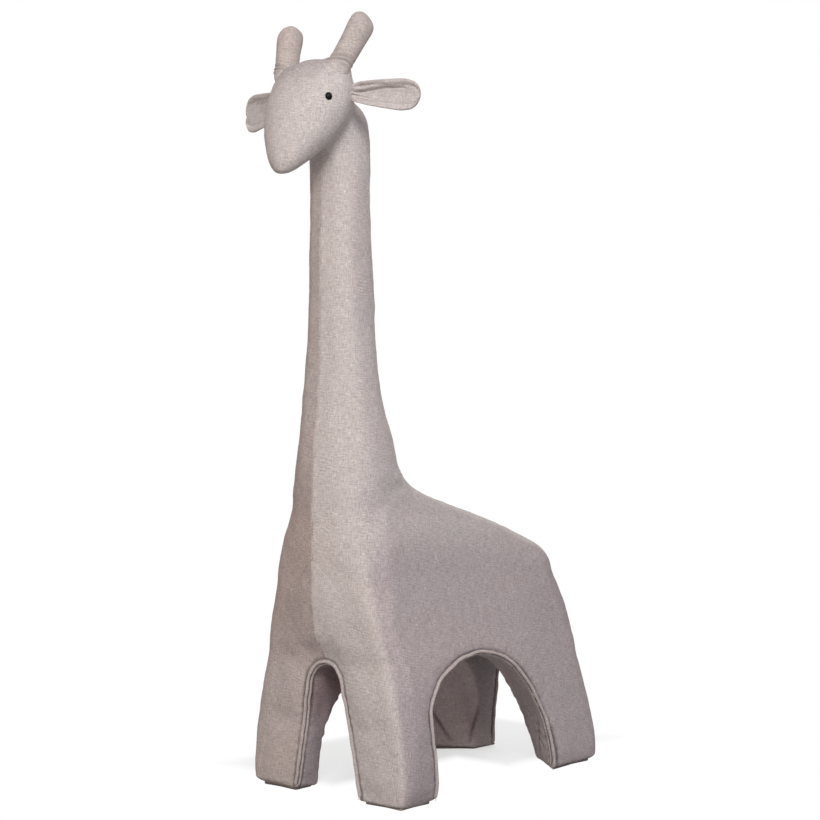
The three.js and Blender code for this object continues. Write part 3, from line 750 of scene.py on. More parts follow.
@dataclass
class TrunkForm:
    """The sewn trunk, from the feet through the body to the rounded top of the neck.

    A ring is half an outline and its mirror image: straight across the front, a quarter circle, straight
    along the flank, a quarter circle and straight across the back. Its sizes follow a table of heights. A
    keel runs down the front: the two panels slant back from it, and the front corners are tighter.
    """

    withers: float = 478 * MM
    throat: float = 940 * MM
    body_width: float = 300 * MM
    chest_reach: float = 230 * MM
    rump_reach: float = 304 * MM
    neck_width: float = 92 * MM
    neck_depth: float = 100 * MM
    ridge: float = 7 * MM
    hollow: float = 44 * MM
    tuck: float = 10 * MM
    roundest: float = 0.96
    foot: float = 2 * MM
    # How much tighter the front corner gets as the front lies back by one, and its least share
    tighten: float = 1.6
    least_corner: float = 0.4
    keel_reach: float = 0.8
    keel_power: float = 1.3
    tuck_width: float = 36 * MM
    tuck_heights: tuple[float, float] = (206 * MM, 250 * MM)
    # Height, half width in front and behind, reach in front and behind, corner
    body_shares: Array = field(default_factory=lambda: np.array([
        [0.000, 0.498, 0.466, 0.848, 0.987, 0.047], [0.063, 0.525, 0.473, 0.852, 1.000, 0.057],
        [0.126, 0.526, 0.473, 0.857, 0.987, 0.067], [0.209, 0.518, 0.470, 0.861, 0.964, 0.080],
        [0.314, 0.500, 0.467, 0.878, 0.928, 0.110], [0.418, 0.467, 0.457, 0.896, 0.905, 0.140],
        [0.502, 0.430, 0.437, 0.957, 0.905, 0.170], [0.586, 0.400, 0.413, 0.987, 0.888, 0.200],
        [0.669, 0.376, 0.383, 1.000, 0.862, 0.230], [0.711, 0.365, 0.370, 1.000, 0.845, 0.220],
        [0.753, 0.361, 0.350, 1.000, 0.795, 0.240], [0.795, 0.356, 0.323, 1.000, 0.665, 0.265],
        [0.837, 0.336, 0.300, 1.000, 0.507, 0.267], [0.879, 0.307, 0.278, 1.000, 0.306, 0.267],
        [0.921, 0.284, 0.268, 1.000, 0.080, 0.267], [0.962, 0.280, 0.264, 1.000, -0.115, 0.267],
    ]))
    # Height, half width, reach in front, depth
    neck_shares: Array = field(default_factory=lambda: np.array([
        [0.000, 0.897, 1.000, 1.660], [0.048, 0.838, 0.995, 1.520], [0.134, 0.768, 0.980, 1.400],
        [0.221, 0.698, 0.962, 1.220], [0.307, 0.645, 0.949, 1.080], [0.394, 0.598, 0.940, 1.020],
        [0.481, 0.554, 0.936, 1.015], [0.589, 0.522, 0.935, 1.010], [0.697, 0.500, 0.935, 0.975],
        [0.805, 0.478, 0.930, 0.940], [0.913, 0.475, 0.928, 0.905], [1.000, 0.483, 0.928, 0.895],
        [1.087, 0.489, 0.930, 0.895], [1.152, 0.467, 0.920, 0.850], [1.206, 0.391, 0.904, 0.680],
        [1.238, 0.239, 0.852, 0.380],
    ]))
    # Height, how far the keel stands out, how far the front panels lie back
    ridge_shares: Array = field(default_factory=lambda: np.array([
        [0.0, 0.1, 0.0], [0.30, 0.3, 0.0], [0.42, 1.0, 0.6], [0.54, 1.9, 2.1], [0.95, 1.9, 2.1],
        [1.15, 1.4, 1.75], [1.35, 1.05, 1.55], [1.80, 0.95, 1.5], [1.95, 0.3, 1.2], [2.3, 0.0, 0.4],
    ]))
    hollow_shares: Array = field(default_factory=lambda: np.array([
        [0.0, 1.0], [0.14, 0.8], [0.32, 0.4], [0.5, 0.25], [0.7, 0.0], [2.5, 0.0],
    ]))

    def __post_init__(self) -> None:
        """Works the shares out in metres: height, front half, rear half, front, back, corner."""
        wide, reach, rump = self.body_width, self.chest_reach, self.rump_reach
        body = self.body_shares * [self.withers, wide, wide, -reach, rump, wide]
        at, half, front, depth = self.neck_shares.T
        neck = np.stack([
            self.withers + at * (self.throat - self.withers), half * self.neck_width, half * self.neck_width,
            -front * reach, -front * reach + depth * self.neck_depth, np.full(len(at), self.neck_depth),
        ], axis=1)
        self.table = np.concatenate([body, neck])
        self.top = float(self.table[-1, 0])

    def sizes(self, heights: Array) -> tuple[Array, ...]:
        """The outline's sizes at some heights.

        Returns:
            Front half width, rear half width, front, back, rear corner radius, ridge, hollow and front corner
            radius. The front corner tightens as the front lies back, which keeps the outline's corner.
        """
        front_half, rear_half, front, back, corner = read_table(self.table, heights).T
        narrow = np.minimum(np.minimum(front_half, rear_half), (back - front) / 2)
        corner = np.minimum(corner, self.roundest * narrow)
        ridge, aback = self.ridge * read_table(self.ridge_shares, heights / self.withers).T
        hollow = self.hollow * read_table(self.hollow_shares, heights / self.withers)[:, 0]
        tight = np.maximum(corner - self.tighten * aback, self.least_corner * corner)
        front = front + np.minimum(aback, (corner - tight) / self.tighten)
        return front_half, rear_half, front, back, corner, ridge, hollow, tight

    def keel(self, x: Array, z: Array, half: Array, ridge: Array) -> Array:
        """How far the front stands out: ridge (1 - x / reach)^power, less a bell over the front arch."""
        lean = np.clip(1 - np.abs(x) / (self.keel_reach * half), 0, 1) ** self.keel_power
        return ridge * lean - self.tuck * hump(x, self.tuck_width) * (1 - ease(*self.tuck_heights, z))

    def rings(self, heights: Array, steps: int) -> Array:
        """Closed rings at some heights, as (ring, step, xyz)."""
        sizes = (size[:, None] for size in self.sizes(heights))
        front_half, rear_half, front, back, corner, ridge, hollow, tight = sizes
        quarter = corner * np.pi / 2
        flank = np.hypot(front_half - rear_half, back - front - corner - tight)
        lengths = [front_half - tight, tight * np.pi / 2, flank, quarter, rear_half - corner]
        ends = np.cumsum(np.concatenate([np.zeros_like(quarter), *lengths], axis=1), axis=1)[:, :, None]
        run = np.linspace(0, 1, steps)[None, :] * ends[:, -1]
        spans = [(ends[:, i], np.maximum(ends[:, i + 1] - ends[:, i], 1e-9)) for i in range(5)]
        share = [np.clip((run - low) / span, 0, 1) for low, span in spans]
        before = [run <= ends[:, i] for i in range(1, 5)]
        near, far = share[1] * np.pi / 2, share[3] * np.pi / 2
        x = np.select(before, [
            run,
            front_half - tight + tight * np.sin(near),
            front_half + (rear_half - front_half) * share[2],
            rear_half - corner + corner * np.cos(far),
        ], (rear_half - corner) * (1 - share[4]))
        y = np.select(before, [
            np.broadcast_to(front, run.shape),
            front + tight - tight * np.cos(near),
            front + tight + (back - front - corner - tight) * share[2],
            back - corner + corner * np.sin(far),
        ], back - hollow * share[4])
        y = y - self.keel(x, heights[:, None], front_half, ridge) * (y < (front + back) / 2)
        half = np.stack([x, y, np.broadcast_to(heights[:, None], x.shape)], axis=-1)
        mirror = half[:, -2:0:-1] * [-1, 1, 1]
        return np.concatenate([half, mirror], axis=1)

    def flank_at(self, y: Array, z: Array) -> Array:
        """How far out the flank lies at places seen from the side."""
        front_half, rear_half, front, back, corner, _, _, tight = self.sizes(z)
        t = np.clip((y - front - tight) / (back - front - corner - tight), 0, 1)
        straight = front_half + (rear_half - front_half) * t
        ahead = np.clip(front + tight - y, 0, tight)
        behind = np.clip(y - back + corner, 0, corner)
        return straight - tight - corner + np.sqrt(tight**2 - ahead**2) + np.sqrt(corner**2 - behind**2)

    def front_at(self, x: Array, z: Array) -> Array:
        """How far forwards the chest lies at places seen from the front."""
        front_half, _, front, _, _, ridge, _, tight = self.sizes(z)
        over = np.clip(np.abs(x) - front_half + tight, 0, tight)
        return front + tight - np.sqrt(tight**2 - over**2) - self.keel(x, z, front_half, ridge)

    def back_at(self, x: Array, z: Array) -> Array:
        """How far back the rump lies at places seen from behind."""
        _, rear_half, _, back, corner, _, hollow, _ = self.sizes(z)
        over = np.clip(np.abs(x) - rear_half + corner, 0, corner)
        inward = np.clip(1 - np.abs(x) / np.maximum(rear_half - corner, 1e-6), 0, 1)
        return back - corner + np.sqrt(corner**2 - over**2) - hollow * inward


@dataclass
class ArchForm:
    """The two tunnels between the legs, as cutters and as the edges that they leave."""

    trunk: TrunkForm
    aisle_foot: float = 130 * MM
    aisle_crown: float = 66 * MM
    aisle_spring: float = 165 * MM
    aisle_height: float = 201 * MM
    side_height: float = 206 * MM
    inner_half: float = 58 * MM
    overrun: float = 60 * MM
    # The edges start this far over the floor and have this many places
    edge_foot: float = 6 * MM
    edge_places: int = 260
    # Shares of the trunk's reach: front foot, spring, rise, rear heel, lean
    outer: tuple[float, ...] = (0.504, 0.561, 0.6, 0.592, 0.355)
    inner: tuple[float, ...] = (0.657, 0.652, 0.3, 0.803, 0.722)
    waist: float = 0.955
    knee: float = 0.39
    roundness: float = 0.55
    steps: int = 40

    def bow(self, *corners: tuple[float, float]) -> Array:
        """A cubic curve: the four corners weighted by the Bernstein polynomials."""
        t = np.linspace(0, 1, self.steps)[:, None]
        weights = [(1 - t) ** 3, 3 * t * (1 - t) ** 2, 3 * t**2 * (1 - t), t**3]
        return sum(weight * np.array(corner) for weight, corner in zip(weights, corners))

    def side_outline(self, shares: tuple[float, ...]) -> Array:
        """The side arch seen from the side, from the rear foot over to the front foot, as (y, z)."""
        foot, spring, rise, heel, lean = shares
        front, rear = foot * self.trunk.chest_reach, heel * self.trunk.rump_reach
        spring, lean = spring * self.trunk.chest_reach, lean * self.trunk.rump_reach
        height = self.side_height
        rise = rise * height
        shoulder = rise + (height - rise) * self.roundness
        back = self.bow((rear, 0), (rear * self.waist, height * self.knee), (lean, height), (0, height))
        fore = self.bow((0, height), (-spring * self.roundness, height), (-spring, shoulder), (-spring, rise))
        wall = np.linspace([-spring, rise], [-front, 0], self.steps // 2)
        return np.concatenate([back, fore[1:], wall[1:]])

    def aisle_outline(self) -> Array:
        """The tunnel from chest to rump, seen from the front, as (x, z)."""
        turn = np.linspace(0, np.pi, self.steps)
        half = self.aisle_crown / 2
        crown = np.stack([
            half * np.cos(turn), self.aisle_spring + (self.aisle_height - self.aisle_spring) * np.sin(turn)
        ], axis=1)
        wall = np.linspace([self.aisle_foot / 2, 0], crown[0], self.steps // 2)
        return np.concatenate([wall[:-1], crown, (wall * [-1, 1])[-2::-1]])

    def aisle_cutter(self) -> bpy.types.Object:
        """The closed tunnel from chest to rump."""
        outline = self.aisle_outline()
        below = [[-self.aisle_foot / 2, -self.overrun], [self.aisle_foot / 2, -self.overrun]]
        outline = np.concatenate([outline, below])
        ends = np.array([-self.trunk.chest_reach - self.overrun, self.trunk.rump_reach + self.overrun])
        stations = np.linspace(*ends, 30)
        ring = np.stack([outline[:, 0], np.zeros(len(outline)), outline[:, 1]], axis=1)
        return closed_loft("aisle_cutter", ring[None] + stations[:, None, None] * np.array([0, 1, 0]))

    def vault_cutter(self) -> bpy.types.Object:
        """The closed tunnel from side to side, whose walls slant apart between the legs."""
        outside, inside = (
            np.concatenate([self.side_outline(shares), [
                [-self.trunk.chest_reach * shares[0], -self.overrun],
                [self.trunk.rump_reach * shares[3], -self.overrun],
            ]])
            for shares in (self.outer, self.inner)
        )
        side = self.trunk.body_shares[0][2] * self.trunk.body_width
        far = self.trunk.body_width / 2 + self.overrun
        stations = np.array([-far, -side, -self.inner_half, self.inner_half, side, far])
        mix = np.array([0, 0, 1, 1, 0, 0])[:, None, None]
        outline = outside * (1 - mix) + inside * mix
        x = np.broadcast_to(stations[:, None, None], (*outline.shape[:2], 1))
        return closed_loft("vault_cutter", np.concatenate([x, outline], axis=2))

    def above_foot(self, outline: Array) -> Array:
        """The outline's two coordinates where it is clear of the floor."""
        return outline[outline[:, 1] > self.edge_foot].T

    def edge(self, path: Array, out: list[float], turn: int) -> Edge:
        """An arch edge from its path, the way out of the body and the sense in which the path runs.

        Returns:
            Places along the edge, the way out of the body there and the way into the tunnel.
        """
        path = evenly(path, self.edge_places)
        ways = np.tile(out, (len(path), 1))
        return path, ways, unit(np.cross(ways, unit(np.gradient(path, axis=0)))) * turn

    def side_edge(self, side: Side) -> Edge:
        """Where the side arch meets the flank."""
        y, z = self.above_foot(self.side_outline(self.outer))
        path = np.stack([side.value * self.trunk.flank_at(y, z), y, z], axis=1)
        return self.edge(path, [side.value, 0.0, 0.0], side.value)

    def end_edge(self, end: End) -> Edge:
        """Where the tunnel from chest to rump meets the chest or the rump."""
        x, z = self.above_foot(self.aisle_outline())
        y = self.trunk.front_at(x, z) if end is End.FRONT else self.trunk.back_at(x, z)
        return self.edge(np.stack([x, y, z], axis=1), [0.0, end.value, 0.0], -end.value)

    def edges(self) -> dict[str, Edge]:
        """All four arch edges by name."""
        return {
            "side_left": self.side_edge(Side.LEFT),
            "side_right": self.side_edge(Side.RIGHT),
            "front": self.end_edge(End.FRONT),
            "rear": self.end_edge(End.REAR),
        }


@dataclass
class HeadForm:
    """The head's egg. Along it the radius is sqrt(1 - a^2) (1 - taper a), a from crown to muzzle."""

    length: float = 197 * MM
    width: float = 132 * MM
    depth: float = 100 * MM
    reach: float = 247.4 * MM
    height: float = 1011.8 * MM
    tilt: float = np.radians(59)
    taper: float = 0.4

    def places(self, along: Array, turn: Array) -> Array:
        """Places on the egg; along runs from -1 to 1 and turn goes round it from the left side."""
        swell = np.sqrt(np.clip(1 - along**2, 0, 1)) * (1 - self.taper * along)
        forward = np.array([0, -np.cos(self.tilt), -np.sin(self.tilt)])
        brow = np.array([0, -np.sin(self.tilt), np.cos(self.tilt)])
        middle = np.array([0, -self.reach, self.height])
        return (
            middle
            + (along * self.length / 2)[..., None] * forward
            + (np.cos(turn) * swell * self.width / 2)[..., None] * np.array([1.0, 0, 0])
            + (np.sin(turn) * swell * self.depth / 2)[..., None] * brow
        )

    def seat(self, along: float, turn: float, side: Side) -> tuple[Array, Array]:
        """A place on the egg, mirrored to one side, and the way that the egg faces there."""
        nudge = 0.01
        here, down, round_ = self.places(
            np.array([along, along + nudge, along]), np.array([turn, turn, turn + nudge])
        )
        look = unit(np.cross(round_ - here, down - here))
        look = look if look[0] > 0 else -look
        mirror = np.array([side.value, 1, 1])
        return here * mirror, look * mirror

    def rings(self, rows: int = 64, steps: int = 96) -> Array:
        """The egg as closed rings."""
        along = -np.cos(np.pi * (np.arange(rows) + 0.5) / rows)[:, None]
        turn = 2 * np.pi * np.arange(steps)[None, :] / steps
        return self.places(*np.broadcast_arrays(along, turn))


@dataclass
class SeamLines:
    """The sewn lines of the cover, as signed distances from them."""

    trunk: TrunkForm
    apex: float = 201 * MM
    chin: float = 945 * MM
    shoulder: float = 410 * MM
    shoulder_rise: tuple[float, float] = (0.40, 0.40)
    # Height, distance from the middle of the chest
    leg_shares: Array = field(default_factory=lambda: np.array([
        [0.00, 0.140], [0.017, 0.139], [0.040, 0.135], [0.074, 0.127], [0.108, 0.119], [0.160, 0.109],
        [0.200, 0.099], [0.242, 0.087], [0.272, 0.076], [0.303, 0.055], [0.335, 0.027], [0.360, 0.0],
        [0.39, -0.03],
    ]))

    def ahead(self, points: Array) -> Array:
        """One where a place lies on the front half of the trunk at its height, else zero."""
        front, back = self.trunk.sizes(points[:, 2])[2:4]
        return (points[:, 1] < front + 0.42 * (back - front)).astype(float)

    def centre(self, points: Array) -> Array:
        """Distance from the seam down the middle, in front and behind."""
        x, _, z = points.T
        on_throat = points[:, 1] > self.trunk.front_at(x, z) - 9 * MM
        front = (self.ahead(points) > 0) & (z > self.apex - 20 * MM) & (z < self.chin) & on_throat
        rear = (self.ahead(points) == 0) & (z > self.apex - 20 * MM) & (z < self.chin + 20 * MM)
        return np.where(front | rear, x, 1.0)

    def legs(self, points: Array) -> Array:
        """Distance from the curved seam that parts the chest from each front leg."""
        x, _, z = points.T
        middle = read_table(self.leg_shares, z)[:, 0]
        slope = (read_table(self.leg_shares, z + MM)[:, 0] - middle) / MM
        gap = (np.abs(x) - middle) / np.sqrt(1 + slope**2)
        inside = (self.ahead(points) > 0) & (z < 0.362) & (points[:, 1] < self.trunk.front_at(x, z) + 26 * MM)
        return np.where(inside, gap, 1.0)

    def collar(self, points: Array) -> Array:
        """Distance from the seam round the neck's foot, which rises aside and backwards from the chest."""
        x, y, z = points.T
        aside, behind = self.shoulder_rise
        line = self.shoulder + aside * np.abs(x) + behind * (y + self.trunk.chest_reach)
        return (z - line) / np.hypot(1, aside)

    def nearest(self, points: Array) -> Array:
        """The smallest of the distances, without their signs."""
        return np.minimum.reduce([np.abs(f(points)) for f in (self.centre, self.legs, self.collar)])

    def drawn(self, points: Array) -> Array:
        """The distance that shading reads: the centre and collar seams show less than those of the legs."""
        faint = np.minimum(np.abs(self.centre(points)) + 0.85 * MM, np.abs(self.collar(points)) + 0.55 * MM)
        return np.minimum(faint, np.abs(self.legs(points)) + 0.25 * MM)


@dataclass
class StuffedCover:
    """The stuffed skin of the trunk and the head, blown up between its seams and parted into pieces."""

    trunk: TrunkForm
    arches: ArchForm
    head: HeadForm
    seams: SeamLines
    voxel: float = 5 * MM
    steps: int = 110
    shrink: float = 0.4 * MM
    pressure: float = 4.0
    cap: float = 3.0 * MM
    neck_cap: float = 1.8 * MM
    neck_starts: tuple[float, float] = (400 * MM, 600 * MM)
    softness: int = 10
    frames: int = 14
    # What the cloth solver is told: mass, stiffness and how loosely the cover is cut
    cloth: tuple[tuple[str, float], ...] = (
        ("quality", 4), ("mass", 0.25), ("tension_stiffness", 22), ("compression_stiffness", 22),
        ("shear_stiffness", 8), ("bending_stiffness", 1.2), ("pin_stiffness", 1.0), ("shrink_min", -0.012),
    )
    leg_height: float = 185 * MM
    collar_height: float = 412 * MM
    neck_tilt: float = np.radians(20)
    chin_height: float = 932 * MM
    throat_tilt: float = np.radians(14.5)
    # Rounds of smoothing before and after the throat's hollow is filled, and that filling
    smoothing: tuple[int, int] = (14, 3)
    crease_height: float = 900 * MM
    crease_fade: float = 30 * MM
    crease_rounds: int = 110
    # How wide the cloth is held at the seams and at the arches, and up to which height on the floor
    seam_hold: float = 4 * MM
    arch_hold: float = 6 * MM
    arch_reach: float = 40 * MM
    floor_hold: tuple[float, float] = (6 * MM, 16 * MM)
    # Held firmness is told to the solver in this many levels
    levels: int = 10
    # The share that each round of softening leaves of a vertex's own move
    own_share: float = 0.4

    def raw(self) -> bpy.types.Object:
        """The trunk without its arches and the head's egg, as one skin of even quads."""
        heights = np.linspace(self.trunk.foot, self.trunk.top, 220)
        skin = closed_loft("cover", self.trunk.rings(heights, self.steps))
        for cutter in (self.arches.aisle_cutter(), self.arches.vault_cutter()):
            apply_modifier(skin, "BOOLEAN", operation="DIFFERENCE", solver="EXACT", object=cutter)
            bpy.data.objects.remove(cutter)
        egg = closed_loft("egg", self.head.rings())
        mesh = bmesh.new()
        mesh.from_mesh(skin.data)
        mesh.from_mesh(egg.data)
        mesh.to_mesh(skin.data)
        mesh.free()
        bpy.data.objects.remove(egg)
        apply_modifier(skin, "REMESH", mode="VOXEL", voxel_size=self.voxel, use_smooth_shade=True)
        return skin

    def smooth(self, obj: bpy.types.Object, rounds: int) -> None:
        """Evens out the grid's steps: a pull to the neighbours' middle, then a slightly larger push back."""
        points, edges = points_of(obj), edges_of(obj)
        for turn in range(2 * rounds):
            points += (0.5, -0.52)[turn % 2] * (self.middles(points, edges) - points)
        move_points(obj, points)

    @staticmethod
    def middles(points: Array, edges: Array) -> Array:
        """The middle of each point's neighbours."""
        total = np.empty_like(points)
        (start, end), size = edges.T, len(points)
        for axis in range(3):
            value = points[:, axis]
            total[:, axis] = np.bincount(start, value[end], size) + np.bincount(end, value[start], size)
        return total / np.bincount(edges.ravel(), minlength=size)[:, None]

    def fill_crease(self, obj: bpy.types.Object) -> None:
        """Softens the hollow where the head meets the neck: points there only move outwards."""
        points, edges = points_of(obj), edges_of(obj)
        low = self.crease_height
        weight = ease(low, low + self.crease_fade, points[:, 2])[:, None]
        for _ in range(self.crease_rounds):
            pull = self.middles(points, edges) - points
            normals = normals_of(obj)
            outwards = np.clip((pull * normals).sum(axis=1, keepdims=True), 0, None)
            points += 0.9 * weight * outwards * normals
            move_points(obj, points)

    def inflate(self, obj: bpy.types.Object, pinned: Array) -> None:
        """Blows the skin up as slightly loose cloth, held at its seams, and caps how far it goes.

        Args:
            obj: the skin.
            pinned: how firmly each vertex is held, from 0 to 1.
        """
        start = points_of(obj)
        group = obj.vertex_groups.new(name="held")
        levels = np.round(pinned * self.levels).astype(int)
        for level in range(1, self.levels + 1):
            group.add(np.flatnonzero(levels == level).tolist(), level / self.levels, "REPLACE")
        modifier = obj.modifiers.new("Cloth", "CLOTH")
        cloth = modifier.settings
        for key, value in self.cloth:
            setattr(cloth, key, value)
        cloth.vertex_group_mass = group.name
        cloth.use_pressure = True
        cloth.uniform_pressure_force = self.pressure
        cloth.effector_weights.gravity = 0.0
        modifier.collision_settings.use_collision = False
        modifier.point_cache.frame_start = 1
        modifier.point_cache.frame_end = self.frames
        scene = bpy.context.scene
        for number in range(1, self.frames + 1):
            scene.frame_set(number)
        depsgraph = bpy.context.evaluated_depsgraph_get()
        moved = points_of(obj.evaluated_get(depsgraph)) - start
        edges, normals = edges_of(obj), normals_of(obj)
        for _ in range(self.softness):
            moved = self.own_share * moved + (1 - self.own_share) * self.middles(moved, edges)
        moved -= np.minimum((moved * normals).sum(axis=1, keepdims=True), 0.0) * normals
        obj.modifiers.clear()
        obj.vertex_groups.clear()
        scene.frame_set(1)
        far = np.linalg.norm(moved, axis=1, keepdims=True)
        cap = self.cap + (self.neck_cap - self.cap) * ease(*self.neck_starts, start[:, 2])[:, None]
        move_points(obj, start + moved * np.minimum(1.0, cap / np.maximum(far, 1e-9)))
        log.info("inflated: median %.1f mm, largest %.1f mm", np.median(far) / MM, far.max() / MM)

    def build(self) -> bpy.types.Object:
        """Makes the whole skin in its stuffed shape."""
        skin = self.raw()
        before, after = self.smoothing
        self.smooth(skin, before)
        self.fill_crease(skin)
        self.smooth(skin, after)
        points = points_of(skin)
        move_points(skin, points - self.shrink * normals_of(skin))
        held = hump(self.seams.nearest(points), self.seam_hold)
        for path, _, _ in self.arches.edges().values():
            near, _ = near_path(points, path, self.arch_reach)
            held = np.maximum(held, hump(near, self.arch_hold))
        held = np.maximum(held, 1 - ease(*self.floor_hold, points[:, 2]))
        self.inflate(skin, np.clip(held, 0, 1))
        apply_modifier(skin, "SUBSURF", levels=1, render_levels=1)
        return skin

    def cuts(self) -> list[tuple[Array, Array]]:
        """The planes that part the skin: a place on each and the way that it faces."""
        front = -self.trunk.chest_reach
        planes = (
            (0.0, self.leg_height, 0.0), (front, self.collar_height, self.neck_tilt),
            (front, self.chin_height, self.throat_tilt),
        )
        return [(np.array([0, y, z]), np.array([0, -np.sin(tilt), np.cos(tilt)])) for y, z, tilt in planes]

    def part(self, skin: bpy.types.Object) -> dict[str, bpy.types.Object]:
        """Parts the skin into the pieces that the CAD names, with the shading of the whole.

        Args:
            skin: the finished skin, with what the weave reads kept on its vertices.

        Returns:
            The pieces by the name of their CAD node. Each is closed inside with a flat face.
        """
        mesh = bmesh.new()
        mesh.from_mesh(skin.data)
        for place, normal in self.cuts():
            bmesh.ops.bisect_plane(
                mesh, geom=mesh.verts[:] + mesh.edges[:] + mesh.faces[:], dist=1e-6,
                plane_co=Vector(place), plane_no=Vector(normal),
            )
        mesh.to_mesh(skin.data)
        mesh.free()
        skin.data.update()
        middles = read_rows(skin.data.polygons, "center")
        above = [(middles - place) @ normal > 0 for place, normal in self.cuts()]
        names = np.select([above[2], above[1], above[0]], ["head", "neck", "body"], "leg")
        for end in End:
            for side in Side:
                here = (names == "leg") & (middles[:, 0] * side.value > 0) & (middles[:, 1] * end.value > 0)
                names = np.where(here, f"leg_{end.word}_{side.word}", names)
        normals = normals_of(skin)
        pieces = {}
        for name in np.unique(names):
            piece = skin.copy()
            piece.data = skin.data.copy()
            piece.name = f"cover_{name}"
            piece.data.name = piece.name
            bpy.context.scene.collection.objects.link(piece)
            self.keep_faces(piece, names == name, normals)
            pieces[str(name)] = piece
        bpy.data.objects.remove(skin)
        return pieces

    @staticmethod
    def keep_faces(piece: bpy.types.Object, keep: Array, normals: Array) -> None:
        """Keeps some faces of a piece, closes its cuts and gives it the whole skin's normals."""
        store(piece, "skin_normal", normals)
        mesh = bmesh.new()
        mesh.from_mesh(piece.data)
        mesh.faces.ensure_lookup_table()
        bmesh.ops.delete(mesh, geom=[mesh.faces[i] for i in np.flatnonzero(~keep)], context="FACES")
        rim = [edge for edge in mesh.edges if edge.is_boundary]
        caps = bmesh.ops.holes_fill(mesh, edges=rim, sides=0)["faces"]
        for face in caps:
            face.smooth = False
        mesh.to_mesh(piece.data)
        mesh.free()
        layer = piece.data.attributes["skin_normal"]
        normals = read_rows(layer.data, "vector")
        piece.data.attributes.remove(layer)
        piece.data.normals_split_custom_set_from_vertices(normals)


@dataclass
class ArchWelts:
    """The double piping round each arch: two stuffed tubes side by side, with a row of stitches."""

    arches: ArchForm
    flank_radius: float = 2.7 * MM
    gusset_radius: float = 2.2 * MM
    apart: float = 2.5 * MM
    proud: float = 0.6 * MM
    reach: float = 4.5 * MM
    swell: float = 0.07
    swell_length: float = 38 * MM
    # How wide the painted shade in the groove between the two tubes is
    line: float = 2.1 * MM
    tone: Triple = (0.92, 0.89, 0.89)
    steps: int = 14
    # How far round a path the skin and the tubes are looked at
    near: float = 20 * MM
    # Rounds of evening out: the places on the skin, then the way out there
    rounds: tuple[int, int] = (14, 6)
    # A tube's end: its share of the radius and over how many rings it grows from it
    end: tuple[float, float] = (0.35, 3.0)
    # The random draws of the two tubes
    seeds: tuple[int, int] = (11, 31)
    stitch: tuple[float, float, float] = (3.4 * MM, 0.42 * MM, 5.4 * MM)
    # The stitches' place on the outer tube, aside and out, in its radii
    stitch_place: tuple[float, float] = (0.35, 0.86)

    def settle(self, path: Array, points: Array, normals: Array) -> tuple[Array, Array]:
        """Draws a path on to the skin: each place goes to the bell-weighted middle of the skin near it.

        Args:
            path: places near the skin.
            points: the skin's vertices.
            normals: the way out of the skin at each vertex.

        Returns:
            The places on the skin and the way out there.
        """
        low, high = path.min(axis=0) - self.near, path.max(axis=0) + self.near
        near = np.flatnonzero(((points > low) & (points < high)).all(axis=1))
        points, normals = points[near], normals[near]
        places, ways = [], []
        for part in np.array_split(path, 26):
            gap = np.linalg.norm(part[:, None, :] - points[None, :, :], axis=2)
            weight = hump(gap - gap.min(axis=1, keepdims=True), self.reach)
            weight /= weight.sum(axis=1, keepdims=True)
            places.append(weight @ points)
            ways.append(unit(weight @ normals))
        places, ways = (
            self.even_out(np.concatenate(rows), rounds) for rows, rounds in zip((places, ways), self.rounds)
        )
        return places, unit(ways)

    @staticmethod
    def even_out(values: Array, rounds: int) -> Array:
        """Averages each row with its neighbours, the ends apart."""
        values = values.copy()
        for _ in range(rounds):
            values[1:-1] = 0.5 * values[1:-1] + 0.25 * (values[:-2] + values[2:])
        return values

    def tube(self, name: str, path: Array, outward: Array, radius: float, seed: int) -> bpy.types.Object:
        """A stuffed tube along a path: rings of a radius that swells and shrinks a little along it."""
        _, out, aside = frames_along(path, outward)
        swell = radius * (1 + self.swell * ripple(path, self.swell_length, seed))
        number = np.arange(len(path))
        least, grown = self.end
        swell *= np.minimum(1.0, least + np.minimum(number, number[::-1]) / grown)
        return closed_loft(name, rings_along(path, (out, aside), (swell, swell), self.steps))

    def build(self, points: Array, normals: Array) -> None:
        """Lays the piping and the stitches on the finished skin."""
        for number, (name, (path, out, into)) in enumerate(self.arches.edges().items()):
            edge, away = self.settle(path, points, normals)
            forward = unit(np.gradient(edge, axis=0))
            across = unit(out - into - ((out - into) * forward).sum(axis=1, keepdims=True) * forward)
            across = unit(across - (across * away).sum(axis=1, keepdims=True) * away)
            middle = edge + self.proud * away
            rolls = [
                self.tube("roll", middle + apart * across, away, radius, seed + number)
                for apart, radius, seed in zip(
                    (self.apart, -self.apart), (self.flank_radius, self.gusset_radius), self.seeds
                )
            ]
            welt = join_objects(f"welt_{name}", *rolls)
            # Painted shade in the groove between the two tubes
            between, _ = near_path(points_of(welt), middle, self.near)
            store(welt, "crease", hump(between, self.line))
            store(welt, "nap", np.tile(self.tone, (len(between), 1)))
            WARDROBE.cut_cloth(welt, LINEN, between)
            finish_piece(welt, "cover")
            top = np.array(self.stitch_place) * self.flank_radius
            row = middle + (self.apart + top[0]) * across + top[1] * away
            thread = stitch_row(f"thread_{name}", row, away, *self.stitch)
            WARDROBE.dress(thread, THREAD)
            finish_piece(thread, "cover")


def join_objects(name: str, *parts: bpy.types.Object) -> bpy.types.Object:
    """Puts the meshes of several objects into one new object and removes them."""
    mesh = bmesh.new()
    for part in parts:
        mesh.from_mesh(part.data)
    data = bpy.data.meshes.new(name)
    mesh.to_mesh(data)
    mesh.free()
    data.shade_smooth()
    for part in parts:
        bpy.data.objects.remove(part)
    return link_object(name, data)


